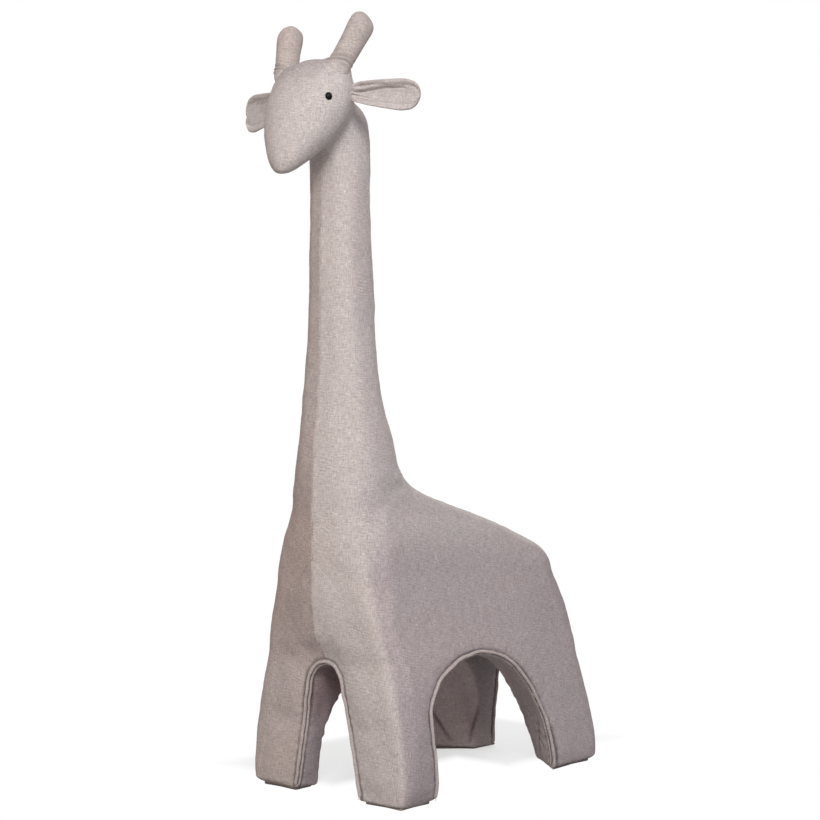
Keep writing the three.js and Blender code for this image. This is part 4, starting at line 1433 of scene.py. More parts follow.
def stitch_row(name: str, path: Array, outward: Array, length: float, radius: float,
               pitch: float) -> bpy.types.Object:
    """Lays stitches along a path: spindles, thickest in the middle, that rise out of the cloth.

    Args:
        name: the object's name.
        path: where the row runs.
        outward: the way out of the cloth at each place of the path.
        length: one stitch's length.
        radius: one stitch's radius.
        pitch: from one stitch to the next.

    Returns:
        All the stitches as one object.
    """
    count = max(2, int(lengths_along(path)[-1] / pitch))
    places = evenly(path, count)
    ways = read_path(outward, np.arange(len(path)), np.linspace(0, len(path) - 1, count))
    along = np.array([-0.5, -0.28, 0.28, 0.5]) * length
    thick = np.array([0.35, 1.0, 1.0, 0.35]) * radius
    forward, up, aside = np.eye(3)[:, None, :].repeat(len(along), axis=1)
    sides = 6
    spindle = rings_along(along[:, None] * forward, (up, aside), (thick, thick), sides).reshape(-1, 3)
    points = places[:, None, :] + spindle @ np.stack(frames_along(places, ways), axis=1)
    rim = np.arange(sides)
    caps = np.stack([rim[::-1], rim + len(spindle) - sides])
    shift = np.arange(count)[:, None, None] * len(spindle)
    faces = [(part + shift).reshape(-1, part.shape[1]) for part in (grid_faces(len(along), sides), caps)]
    return make_object(name, points.reshape(-1, 3), *faces)


@dataclass
class Sole:
    """A foot's sole: a slim stuffed pad whose rim is rolled."""

    height: float = 4.6 * MM
    roll: float = 1.5 * MM
    proud: float = -4.5 * MM
    wave: float = 0.25 * MM
    waves: float = 0.08
    steps: int = 220
    # How far each ring of the pad reaches from its middle
    shares: tuple[float, ...] = (0.3, 0.6, 0.85, 0.95)

    def outline(self, node: str) -> Array:
        """The convex outline of the node seen from above, in even steps, with its corners eased."""
        points = points_of(bpy.data.objects[node])[:, :2]
        turn = np.linspace(0, 2 * np.pi, 720, endpoint=False)
        ways = np.stack([np.cos(turn), np.sin(turn)], axis=1)
        hull = points[(points @ ways.T).argmax(axis=0)]
        fresh = np.linalg.norm(hull - np.roll(hull, 1, axis=0), axis=1) > 1e-6
        loop = hull[fresh]
        loop = np.concatenate([loop, loop[:1]])
        path = evenly(np.column_stack([loop, np.zeros(len(loop))]), self.steps + 1)[:-1]
        for _ in range(5):
            path = 0.5 * path + 0.25 * (np.roll(path, 1, axis=0) + np.roll(path, -1, axis=0))
        return path

    def build(self, end: End, side: Side) -> None:
        """Makes one sole: rings that shrink from the rim to the middle, below and above."""
        node = f"sole_{end.word}_{side.word}"
        path = self.outline(node)
        middle = path.mean(axis=0)
        out = unit(path - middle)
        wave = self.wave * np.sin(2 * np.pi * np.arange(self.steps) * self.waves)[:, None]
        half = self.height / 2
        turn = np.linspace(-np.pi / 2, np.pi / 2, 9)
        rim = [
            path + out * (self.proud - self.roll + self.roll * np.cos(angle) + wave * np.cos(angle))
            + UP * (half + half * np.sin(angle)) for angle in turn
        ]
        below, above = (
            [middle + (edge - middle) * [share, share, 1.0] for share in self.shares]
            for edge in (rim[0], rim[-1])
        )
        sole = closed_loft(f"hem_{node}", np.stack([*below, *rim, *above[::-1]]))
        WARDROBE.cut_cloth(sole, SHADED_LINING)
        finish_piece(sole, "sole", node)


@dataclass
class Horn:
    """A stuffed horn: a squarish finger with pinched folds over its foot."""

    head: HeadForm
    diameter: float = 38 * MM
    length: float = 110 * MM
    spread: float = 47 * MM
    reach: float = 236 * MM
    height: float = 1069 * MM
    lean: float = np.radians(18)
    rake: float = np.radians(24)
    slant: float = 8 * MM
    bow: float = 2 * MM
    # How square the finger is, and from where along it
    square: float = 0.55
    square_from: tuple[float, float] = (0.55, 0.95)
    slant_from: tuple[float, float] = (0.72, 1.0)
    rows: int = 110
    steps: int = 72
    # How the rows crowd towards the tip
    crowd: float = 1.35
    # Each pinched fold: distance along the horn, height, width; their slope and the groove above them
    folds: tuple[tuple[float, float, float], ...] = (
        (0.165, 2.3 * MM, 0.020), (0.225, 2.0 * MM, 0.017), (0.31, 0.6 * MM, 0.03),
    )
    fold_slope: float = 0.07
    # How strongly painted shade darkens the line above each fold, on its front
    fold_shade: float = 300.0
    fold_behind: float = 0.25
    groove: Bell = Bell(-0.9, 0.016, 0.034)
    # Where that painted shade lies above a fold
    groove_line: Bell = Bell(1.0, 0.009, 0.030)
    lumps: tuple[float, float] = (0.45 * MM, 1.6)
    tone: Triple = (0.13, 0.17, 0.19)
    tone_starts: tuple[float, float] = (0.08, 0.30)
    seam_off: float = 0.9 * MM
    # How near the skin is that the seam is looked for on, and on how many of its vertices at least
    seam_reach: float = 60 * MM
    seam_points: int = 5000
    # Distance along the horn, radius
    shares: Array = field(default_factory=lambda: np.array([
        [0.00, 0.74], [0.07, 0.86], [0.15, 0.96], [0.26, 0.91], [0.42, 0.93], [0.62, 0.97], [0.78, 1.00],
        [0.88, 0.97], [0.935, 0.87], [0.97, 0.68], [0.99, 0.44], [1.00, 0.14],
    ]))

    def foot(self, side: Side) -> tuple[Array, Array]:
        """A horn's root inside the head and the way that it points."""
        way = unit(np.array([side.value * np.tan(self.lean), np.tan(self.rake), 1.0]))
        return np.array([side.value * self.spread, -self.reach, self.height]), way

    def build(self, side: Side, points: Array) -> None:
        """Makes one horn and draws its seam where it leaves the head.

        Args:
            side: which horn.
            points: the cover's vertices, to find the seam.
        """
        root, way = self.foot(side)
        out = unit(np.array([side.value, 0, 0]) - way * side.value * way[0])
        back = np.cross(way, out)
        at = 1 - (1 - np.linspace(0, 1, self.rows)) ** self.crowd
        t, phi = np.meshgrid(at, circle(self.steps), indexing="ij")
        over, behind = np.cos(phi), np.sin(phi)
        radius = self.diameter / 2 * read_table(self.shares, at)[:, :1] * np.ones_like(t)
        square = (np.abs(over) ** 3 + np.abs(behind) ** 3) ** (-1 / 3)
        radius *= 1 + (square - 1) * self.square * ease(*self.square_from, t)
        front = 0.5 - 0.5 * np.sin(phi * side.value)
        shade = np.zeros_like(t)
        around = self.fold_behind + (1 - self.fold_behind) * front
        for place, height, width in self.folds:
            gap = t - place - self.fold_slope * over
            # Painted shade along the groove above each fold, on its front
            shade = np.maximum(shade, self.fold_shade * height * front * self.groove_line.at(gap))
            radius += height * (hump(gap, width) + self.groove.at(gap)) * around
        flat = np.stack([t.ravel(), over.ravel(), behind.ravel()], axis=1)
        radius += self.lumps[0] * ripple(flat, self.lumps[1], 41 + side.value, 2).reshape(t.shape)
        bow = self.bow * np.sin(np.pi * t)
        slant = self.slant * np.clip(over, 0, 1) * radius / (self.diameter / 2) * ease(*self.slant_from, t)
        parts = ((t * self.length - slant, way), (over * radius + bow, out), (behind * radius, back))
        places = root + sum(size[..., None] * axis for size, axis in parts)
        horn = closed_loft(f"horn_cover_{side.word}", places)
        own = points_of(horn)
        near = points[np.linalg.norm(points - root, axis=1) < self.seam_reach]
        near = near[:: max(1, len(near) // self.seam_points)]
        gap = np.concatenate([
            np.linalg.norm(part[:, None, :] - near[None, :, :], axis=2).min(axis=1)
            for part in np.array_split(own, 24)
        ])
        # The crease attribute keeps the folds' painted shade
        store(horn, "crease", np.concatenate([shade.ravel(), [0.0, 0.0]]))
        up = np.concatenate([ease(*self.tone_starts, t).ravel(), [0.0, 1.0]])[:, None]
        store(horn, "nap", 1 - up * self.tone)
        WARDROBE.cut_cloth(horn, LINEN, gap + self.seam_off)
        finish_piece(horn, "cover", f"horn_{side.word}", fill=0.9)


@dataclass
class Ear:
    """A cupped ear of two layers, gathered at its root, with a rolled rim, a long fold and short creases."""

    head: HeadForm
    length: float = 119 * MM
    width: float = 46 * MM
    thickness: float = 9 * MM
    hollow: float = 9 * MM
    root: float = 7 * MM
    inset: float = 10 * MM
    sweep: float = np.radians(11)
    droop: float = np.radians(8)
    turn: float = np.radians(-12)
    seat: float = -0.497
    folded: float = 1.0
    rows: int = 120
    steps: int = 120
    # How the rows crowd towards the tip and how round a section is
    crowd: float = 1.3
    roundness: float = 0.8
    # The rolled rim: its height, then its welt and its groove at shares of the half width
    rim: float = 1.15 * MM
    rim_from: tuple[float, float] = (0.05, 0.2)
    rim_welt: Bell = Bell(1.0, 0.11, 0.84)
    rim_groove: Bell = Bell(-1.1, 0.10, 0.62)
    # The long fold: its depth, where it starts and how far out it leans, its ends and its two sides
    fold: float = 3.4 * MM
    fold_place: tuple[float, float] = (-0.05, 0.50)
    fold_lean: tuple[float, float] = (-0.05, 0.55)
    fold_ends: tuple[tuple[float, float], tuple[float, float]] = ((0.03, 0.12), (0.60, 0.86))
    fold_welt: Bell = Bell(0.75, 0.16, 0.22)
    fold_groove: Bell = Bell(-1.0, 0.065)
    # The gathers at the root: their depth, how many they are and where they fade
    gather: float = 0.8 * MM
    gathers: int = 11
    gather_fade: tuple[float, float] = (0.06, 0.24)
    lumps: tuple[float, float] = (0.5 * MM, 34 * MM)
    # The sewn edge: its share of the half width, the half width, and how the gathers at the root hide it
    sewn_at: float = 0.995
    sewn_half: float = 30 * MM
    sewn_from: float = 0.1
    sewn_off: float = 1.5 * MM
    stitch: tuple[float, float, float] = (2.4 * MM, 0.32 * MM, 3.9 * MM)
    stitch_count: int = 160
    stitch_column: int = 5
    bend: tuple[float, float] = (-5 * MM, 9 * MM)
    crease: Bell = Bell(1.0, 0.06)
    # Each short crease: where it starts across the ear, its lean, its depth and where it ends along the ear
    creases: tuple[tuple[float, float, float, float], ...] = (
        (-0.30, -0.55, 1.3 * MM, 0.55), (-0.62, -0.12, 1.0 * MM, 0.75), (0.62, 0.2, 0.8 * MM, 0.4),
    )
    # Distance along the ear, width, thickness, hollow
    shares: Array = field(default_factory=lambda: np.array([
        [0.00, 0.42, 1.00, 0.10], [0.08, 0.60, 1.20, 0.35], [0.20, 0.72, 1.15, 1.00],
        [0.38, 0.84, 1.00, 1.20], [0.58, 0.94, 0.95, 1.05], [0.76, 1.00, 0.95, 0.85],
        [0.88, 0.92, 0.95, 0.65], [0.95, 0.72, 0.85, 0.45], [0.985, 0.45, 0.70, 0.25],
        [1.00, 0.16, 0.35, 0.10],
    ]))

    def frame(self, side: Side) -> tuple[Array, ...]:
        """The hinge's place and the ear's own three directions."""
        place, look = self.head.seat(self.seat, self.turn, side)
        place = place + look * self.root
        along = np.array([
            side.value * np.cos(self.sweep) * np.cos(self.droop), np.sin(self.sweep) * np.cos(self.droop),
            -np.sin(self.droop),
        ])
        across = unit(UP - along * along[2])
        return place, along, across, np.cross(along, across) * side.value

    def build(self, side: Side) -> None:
        """Makes one ear: lens-shaped sections, bent forwards at both edges, with folds pressed in."""
        place, along, across, facing = self.frame(side)
        root = place - along * self.inset
        at = 1 - (1 - np.linspace(0, 1, self.rows)) ** self.crowd
        t, phi = np.meshgrid(at, circle(self.steps), indexing="ij")
        width, thick, bend = (column[:, None] for column in read_table(self.shares, at).T)
        over, front = np.cos(phi), np.sin(phi)
        depth = np.sign(front) * np.abs(front) ** self.roundness * thick * self.thickness / 2
        depth += self.hollow * bend * (over**2 - 0.5)
        face = np.clip(front * 3, -1, 1)
        edge = np.abs(over)
        ahead = np.maximum(face, 0.0)
        roll = self.rim_welt.at(edge) + self.rim_groove.at(edge)
        depth += ahead * self.rim * roll * ease(*self.rim_from, t)
        start, lean = self.fold_place
        gap = over - (lean * ease(*self.fold_lean, t) + start)
        deep = self.fold * self.folded * window(*self.fold_ends, t)
        depth += ahead * deep * (self.fold_welt.at(gap) + self.fold_groove.at(gap))
        for low, lean, size, end in self.creases:
            gap = over - low - lean * (t - 0.05)
            depth -= np.abs(face) * size * self.crease.at(gap) * (1 - ease(0.4 * end, end, t))
        gather = self.gather * np.cos(self.gathers * phi) * (1 - ease(*self.gather_fade, t))
        wide = over * width * self.width / 2 + gather * over
        parts = ((t * self.length, along), (wide, across), (depth + gather * front, facing))
        places = root + sum(size[..., None] * axis for size, axis in parts)
        lumps = self.lumps[0] * ripple(places.reshape(-1, 3), self.lumps[1], 51 + side.value, 2)
        places = places + lumps.reshape(t.shape)[..., None] * facing
        ear = closed_loft(f"ear_cover_{side.word}", places)
        rim = np.abs(edge - self.sewn_at) * self.sewn_half + self.sewn_off * (t < self.sewn_from)
        seam = np.concatenate([rim.ravel(), np.full(2, 20 * MM)])
        WARDROBE.cut_cloth(ear, LINEN, seam)
        body = f"ear_{side.word}"
        bend = tuple(place + along * reach for reach in self.bend)
        finish_piece(ear, "cover", body, body=body, fill=0.6, bend=bend)
        count, inset = self.stitch_count, self.stitch_column
        rows = [
            stitch_row("rim", evenly(places[8:-10, column], count), np.tile(facing, (count, 1)), *self.stitch)
            for column in (inset, self.steps // 2 - inset)
        ]
        thread = join_objects(f"ear_thread_{side.word}", *rows)
        WARDROBE.dress(thread, THREAD)
        finish_piece(thread, "cover", body=body, bend=bend)


@dataclass
class Tail:
    """A slim stuffed tail: flattened sections along a curve, bound above a fuller end."""

    trunk: TrunkForm
    length: float = 176 * MM
    width: float = 17 * MM
    thickness: float = 11 * MM
    height: float = 312 * MM
    stand_off: float = 11 * MM
    wrinkle: tuple[float, float] = (0.035, 22 * MM)
    # The thread round the waist: where, along how much of the tail, its turns and its radius
    bound_at: float = 0.695
    bound_span: float = 0.02
    bound_turns: int = 5
    thread: float = 0.5 * MM
    thread_lift: float = 0.3 * MM
    rows: int = 150
    steps: int = 48
    # Distance down the tail, width, thickness
    shares: Array = field(default_factory=lambda: np.array([
        [0.00, 0.80, 0.70], [0.06, 1.00, 0.95], [0.20, 0.95, 1.00], [0.45, 0.85, 0.90], [0.62, 0.82, 0.88],
        [0.70, 0.66, 0.78], [0.74, 0.84, 0.92], [0.80, 1.20, 1.05], [0.92, 1.30, 1.10], [0.97, 1.00, 0.86],
        [0.99, 0.62, 0.56], [1.00, 0.20, 0.20],
    ]))

    # The curve's corners after the root: their share of the way out, then how far down in stand-offs
    turns: tuple[tuple[float, float], ...] = ((0.5, 0.15), (0.96, 0.9), (1.0, 2.2))

    def path(self) -> Array:
        """The tail's curve: it leaves the rump, turns down and hangs clear of it."""
        _, _, _, back, _, _, hollow, _ = self.trunk.sizes(self.height - self.length * np.linspace(0, 1, 9))
        rump = float((back - hollow).max())
        root = float((back - hollow)[0])
        far, off, z = rump + self.stand_off, self.stand_off, self.height
        corners = np.array([
            [0, root - self.thickness / 2, z],
            *([0, rump + share * off, z - down * off] for share, down in self.turns),
            [0, far, z - self.length / 2], [0, far, z - self.length],
        ])
        run = lengths_along(corners)
        return evenly(read_table(np.column_stack([run, corners]), np.linspace(0, run[-1], 400)), self.rows)

    def build(self) -> None:
        """Makes the tail, the thread bound round it and the seams along its sides."""
        path = self.path()
        forward = unit(np.gradient(path, axis=0))
        aside = np.tile([1.0, 0, 0], (len(path), 1))
        out = np.cross(forward, aside)
        t = np.linspace(0, 1, self.rows)
        width, thick = read_table(self.shares, t).T
        halves = (width * self.width / 2, thick * self.thickness / 2)
        wrinkle = 1 + self.wrinkle[0] * ripple(path, self.wrinkle[1], 61, 2)
        rings = rings_along(path, (aside, out), tuple(half * wrinkle for half in halves), self.steps)
        tail = closed_loft("tail_cover", rings)
        side = np.abs(np.sin(circle(self.steps))) * self.width / 2
        seam = np.concatenate([np.tile(side, self.rows), np.full(2, 20 * MM)])
        WARDROBE.cut_cloth(tail, LINEN, seam)
        bend = (path[0], path[14])
        finish_piece(tail, "cover", "tail", body="tail", fill=0.8, bend=bend)
        bound = self.binding(path, (aside, out), halves)
        WARDROBE.dress(bound, THREAD)
        finish_piece(bound, "cover", body="tail", bend=bend)

    def binding(
        self, path: Array, ways: tuple[Array, Array], halves: tuple[Array, Array]
    ) -> bpy.types.Object:
        """Turns of thread round the tail's waist, as a coil that follows its section."""
        u = np.linspace(0, 1, 400)
        row = (self.bound_at + self.bound_span * (u - 0.5)) * (self.rows - 1)
        angle = 2 * np.pi * self.bound_turns * u
        number = np.arange(self.rows)
        out = sum(
            (wave * (np.interp(row, number, half) + self.thread_lift))[:, None] * way[int(row[0])]
            for wave, half, way in zip((np.cos(angle), np.sin(angle)), halves, ways)
        )
        coil = read_path(path, number, row) + out
        thread = np.full(len(u), self.thread)
        ways = frames_along(coil, unit(out))[1:]
        return closed_loft("tail_thread", rings_along(coil, ways, (thread, thread), 8))


@dataclass
class Eye:
    """A safety eye: a domed bead with a thin flange, on its shank. The dome is an ellipse turned round."""

    head: HeadForm
    diameter: float = 12 * MM
    rise: float = 4 * MM
    sink: float = 0.8 * MM
    shank: float = 4.4 * MM
    shank_length: float = 15 * MM
    narrow: float = 0.9
    share: float = -0.1735
    turn: float = np.radians(25)
    steps: int = 64

    def seat(self, side: Side) -> tuple[Array, Array]:
        """Where the eye sits and the way it looks."""
        place, look = self.head.seat(self.share, self.turn, side)
        return place - look * self.sink, look

    def build(self, side: Side) -> None:
        """Makes one eye as rings round its axis."""
        place, look = self.seat(side)
        right = unit(np.cross(look, UP))
        up = np.cross(right, look)
        angle = np.linspace(0, np.pi / 2, 26)[:-1]
        radius, half = self.diameter / 2, self.shank / 2
        profile = np.concatenate([
            [[half, -self.shank_length], [half, -0.6 * MM], [radius * 0.9, -0.6 * MM], [radius, -0.3 * MM]],
            np.stack([radius * np.cos(angle), self.rise * np.sin(angle)], axis=1),
        ])
        half, rise = profile.T
        ways = tuple(np.tile(way, (len(rise), 1)) for way in (right, up))
        rings = rings_along(place + rise[:, None] * look, ways, (self.narrow * half, half), self.steps)
        bead = closed_loft(f"bead_{side.word}", rings)
        WARDROBE.dress(bead, BEAD)
        finish_piece(bead, "eye", f"eye_{side.word}")


def dress_frame() -> None:
    """Gives the rods, the boards, the clamps and the washers their finishes; their shapes stay."""
    finishes = {
        "neck_post_cap": NYLON, "neck_post": STEEL, "spine_rod": STEEL, "leg_hoop": STEEL,
        "frame_clamp": NYLON, "foot_board": PLY, "eye_washer": NYLON,
    }
    for obj in bpy.data.objects:
        finish = next((value for key, value in finishes.items() if obj.name.startswith(key)), None)
        for slot in obj.material_slots if finish else ():
            slot.material = WARDROBE.get(finish)


# Studio


@dataclass
class Studio:
    """A pale floor, soft light and the photograph's camera."""

    azimuth: float = np.radians(40.968)
    distance: float = 2.7092
    height: float = 0.56639
    offset: float = 0.00602
    pitch: float = np.radians(0.147)
    focal_pixels: float = 1701.13
    frame_pixels: float = 820.0
    centre_pixels: tuple[float, float] = (415.12, 416.32)
    sensor: float = 36.0
    aim: float = 0.6
    sky: Triple = (1.0, 0.89, 0.83)
    sky_strength: float = 0.04
    # The share of the white world that also lights the toy
    ambient: float = 0.5
    floor_span: float = 14.0
    # The floor's rectangle that takes the shadow: its middle, its half sizes and the corner it leaves out
    shadow_middle: tuple[float, float] = (-0.13, 0.19)
    shadow_half: tuple[float, float] = (0.17, 0.30)
    bare_corner: tuple[float, float] = (-0.07, 0.19)
    # How far out it turns white, and how white it is inside and outside
    white_edges: tuple[float, float, float, float] = (-0.01, 0.04, 0.60, 1.0)
    # How pale the floor is to the camera, and how much less light it throws back on the toy
    paper: tuple[float, float] = (0.93, 0.95)
    bounce: float = 0.45
    # Each lamp: degrees round from the toy's front towards its left, height, distance along the floor, side
    # of its square, watts and tint
    lamps: tuple[tuple[str, float, float, float, float, float, Triple], ...] = (
        ("key", 44.0, 2.45, 3.15, 1.2, 96.0, (0.93, 0.97, 0.985)),
        ("side", 68.0, 0.78, 2.6, 0.9, 3.0, (1.0, 0.95, 1.0)),
        ("front", 6.0, 0.7, 2.6, 0.9, 5.5, (1.0, 0.64, 0.42)),
        ("far", -130.0, 1.8, 2.4, 1.2, 9.0, (1.0, 0.96, 0.94)),
        ("rear", 200.0, 2.0, 2.2, 1.2, 9.0, (0.96, 0.98, 1.0)),
    )

    def camera(self) -> None:
        """The camera where the photograph's was."""
        data = bpy.data.cameras.new("camera")
        data.sensor_width = self.sensor
        data.sensor_fit = "HORIZONTAL"
        data.lens = self.focal_pixels / self.frame_pixels * self.sensor
        data.clip_end = 60.0
        half = self.frame_pixels / 2
        data.shift_x = (half - self.centre_pixels[0]) / self.frame_pixels
        data.shift_y = (self.centre_pixels[1] - half) / self.frame_pixels
        camera = link_object("camera", data)
        x, y = self.distance * np.sin(self.azimuth), self.distance * np.cos(self.azimuth)
        camera.location = (x, self.offset - y, self.height)
        camera.rotation_euler = (np.pi / 2 + self.pitch, 0.0, self.azimuth)
        bpy.context.scene.camera = camera

    def lamp(self, name: str, turn: float, height: float, far: float, size: float, power: float,
             color: Triple) -> None:
        """A square soft box that looks at the toy's middle; the table of lamps says what each number is."""
        data = bpy.data.lights.new(name, "AREA")
        data.shape = "SQUARE"
        data.size = size
        data.energy = power
        data.color = color
        lamp = link_object(name, data)
        turn = np.radians(turn)
        lamp.location = Vector((far * np.sin(turn), -far * np.cos(turn), height))
        lamp.rotation_euler = (lamp.location - Vector((0, 0, self.aim))).to_track_quat("Z", "Y").to_euler()

    def world(self) -> None:
        """White to the camera and in reflections, and an even grey light on the toy."""
        world = bpy.data.worlds.new("studio")
        n = Nodes(world)
        rays = n.add("ShaderNodeLightPath").outputs
        share = self.ambient
        for ray in ("Is Camera Ray", "Is Glossy Ray", "Is Transmission Ray"):
            share = n.math("MAXIMUM", rays[ray], share)
        light, white = (
            n.shader("ShaderNodeBackground", Color=(*color, 1.0), Strength=strength)
            for color, strength in ((self.sky, self.sky_strength), ((1.0, 1.0, 1.0), 1.0))
        )
        n.mix(share, light, white)
        bpy.context.scene.world = world

    def floor(self) -> None:
        """A pale floor that takes the shadow beside and behind the toy and turns white farther out."""
        n = Nodes(bpy.data.materials.new("pale_floor"))
        seen = n.add("ShaderNodeLightPath").outputs["Is Camera Ray"]
        x, y, _ = n.split(n.add("ShaderNodeTexCoord").outputs["Object"])
        aside, ahead = (
            n.math("SUBTRACT", n.math("ABSOLUTE", n.math("SUBTRACT", place, middle)), half)
            for place, middle, half in zip((x, y), self.shadow_middle, self.shadow_half)
        )
        corner_x, corner_y = self.bare_corner
        bare = n.math("MINIMUM", n.math("SUBTRACT", x, corner_x), n.math("SUBTRACT", corner_y, y))
        away = n.math("MAXIMUM", n.math("MAXIMUM", aside, ahead), bare)
        speck = n.range(n.noise(n.join(x, y), 30.0), 0.3, 0.7, *self.paper)
        speck = n.math("MULTIPLY", speck, n.math("MULTIPLY_ADD", seen, 1.0 - self.bounce, self.bounce))
        paper = n.shader("ShaderNodeBsdfDiffuse", Color=n.join(speck, speck, speck))
        white = n.shader("ShaderNodeEmission", Strength=1.0)
        n.mix(n.math("MULTIPLY", n.range(away, *self.white_edges), seen), paper, white)
        corners = np.array([[-1, -1, 0], [1, -1, 0], [1, 1, 0], [-1, 1, 0]]) * self.floor_span
        floor = make_object("floor", corners, np.array([[0, 1, 2, 3]]))
        floor.data.materials.append(n.owner)

    def build(self) -> None:
        """Makes the camera, the lamps, the world and the floor."""
        self.camera()
        for lamp in self.lamps:
            self.lamp(*lamp)
        self.world()
        self.floor()
        bpy.context.scene.view_settings.view_transform = "Standard"


@dataclass(frozen=True)
class NapTones:
    """Painted shade and painted light on the cover's panels, where the light falls less or more.

    Each painted shade is the share of red, green and blue that a panel takes away, or adds as painted light
    where it is below zero: the flanks, the chest's right half, the head's top and the front legs' inner sides
    are painted darker, and the walls between the rear legs lighter.
    """

    flank: Triple = (0.215, 0.245, 0.205)
    chest: Triple = (0.21, 0.28, 0.30)
    brow: Triple = (0.20, 0.23, 0.215)
    gusset: Triple = (-0.14, -0.09, -0.10)
    inside: Triple = (0.20, 0.29, 0.31)
    chin: tuple[float, float] = (0.91, 0.97)
    # How far a face turns aside to count as flank, how much more on the neck, where that starts, and its edge
    turned: tuple[float, float] = (0.5, 0.3)
    neck: tuple[float, float] = (0.40, 0.55)
    turn_edge: float = 0.32
    # The flank's painted shade is fainter above, and fuller on the front legs and low on the rump
    faint_above: tuple[float, float] = (0.34, 0.42)
    faint: float = 0.4
    full: float = 0.3
    front_leg: tuple[tuple[float, float], tuple[float, float]] = ((-0.10, -0.02), (0.14, 0.22))
    rump: tuple[float, float] = (0.10, 0.20)
    rump_height: Bell = Bell(1.0, 0.06, 0.27)
    # The chest's painted shade: how much of it is left low on the legs and how much the neck loses
    chest_faces: tuple[float, float] = (-0.7, -0.2)
    chest_low: tuple[float, float] = (0.17, 0.30)
    chest_least: float = 0.6
    chest_high: tuple[float, float] = (0.42, 0.60)
    chest_loss: float = 0.45
    # The walls between the rear legs, painted lighter, and the legs' inner sides, painted darker:
    # which way they face, then where they are
    gusset_faces: tuple[float, float] = (0.25, 0.6)
    gusset_place: tuple[tuple[float, float], tuple[float, float]] = ((0.04, 0.08), (0.16, 0.21))
    inner_faces: tuple[float, float] = (0.3, 0.8)
    inner_place: tuple[tuple[float, float], tuple[float, float]] = ((-0.12, -0.06), (0.08, 0.14))

    def flanks(self, aside: Array, y: Array, z: Array) -> Array:
        """The share of the flank's painted shade at vertices that face aside by some shares."""
        share = aside * (1 - self.faint * ease(*self.faint_above, z))
        behind, above = self.front_leg
        share *= 1 + self.full * (1 - ease(*behind, y)) * (1 - ease(*above, z))
        return share * (1 + self.full * ease(*self.rump, y) * self.rump_height.at(z))

    def at(self, points: Array, normals: Array, seams: SeamLines) -> Array:
        """The painted shade and painted light on the skin.

        Args:
            points: the skin's vertices.
            normals: the way out of the skin at each.
            seams: the sewn lines, at which the painted shade changes.

        Returns:
            What the cloth's red, green and blue are multiplied by at each vertex.
        """
        x, y, z = points.T
        out_x, out_y, out_z = normals.T
        trunk = 1 - ease(*self.chin, z)
        least, more = self.turned
        turn = np.abs(out_x) - least - more * ease(*self.neck, z)
        aside = trunk * ease(0.0, 1.0, turn / self.turn_edge)
        chest = trunk * seams.ahead(points) * (x < 0) * (1 - ease(*self.chest_faces, out_y)) * (1 - aside)
        chest *= self.chest_least + (1 - self.chest_least) * ease(*self.chest_low, z)
        chest *= 1 - self.chest_loss * ease(*self.chest_high, z)
        behind, above = self.gusset_place
        gusset = ease(*self.gusset_faces, -out_y) * ease(*behind, y) * (1 - ease(*above, z))
        behind, above = self.inner_place
        inside = ease(*self.inner_faces, -out_x * np.sign(x)) * (1 - ease(*behind, y)) * ease(*above, z)
        tone = np.ones_like(points)
        # Each share takes its painted shade away, or adds painted light where that is below zero
        for share, painted_shade in (
            (self.flanks(aside, y, z), self.flank), (chest, self.chest), (gusset, self.gusset),
            ((1 - trunk) * ease(0.2, 0.8, out_z), self.brow), (inside * trunk, self.inside),
        ):
            tone *= 1 - share[:, None] * painted_shade
        return tone


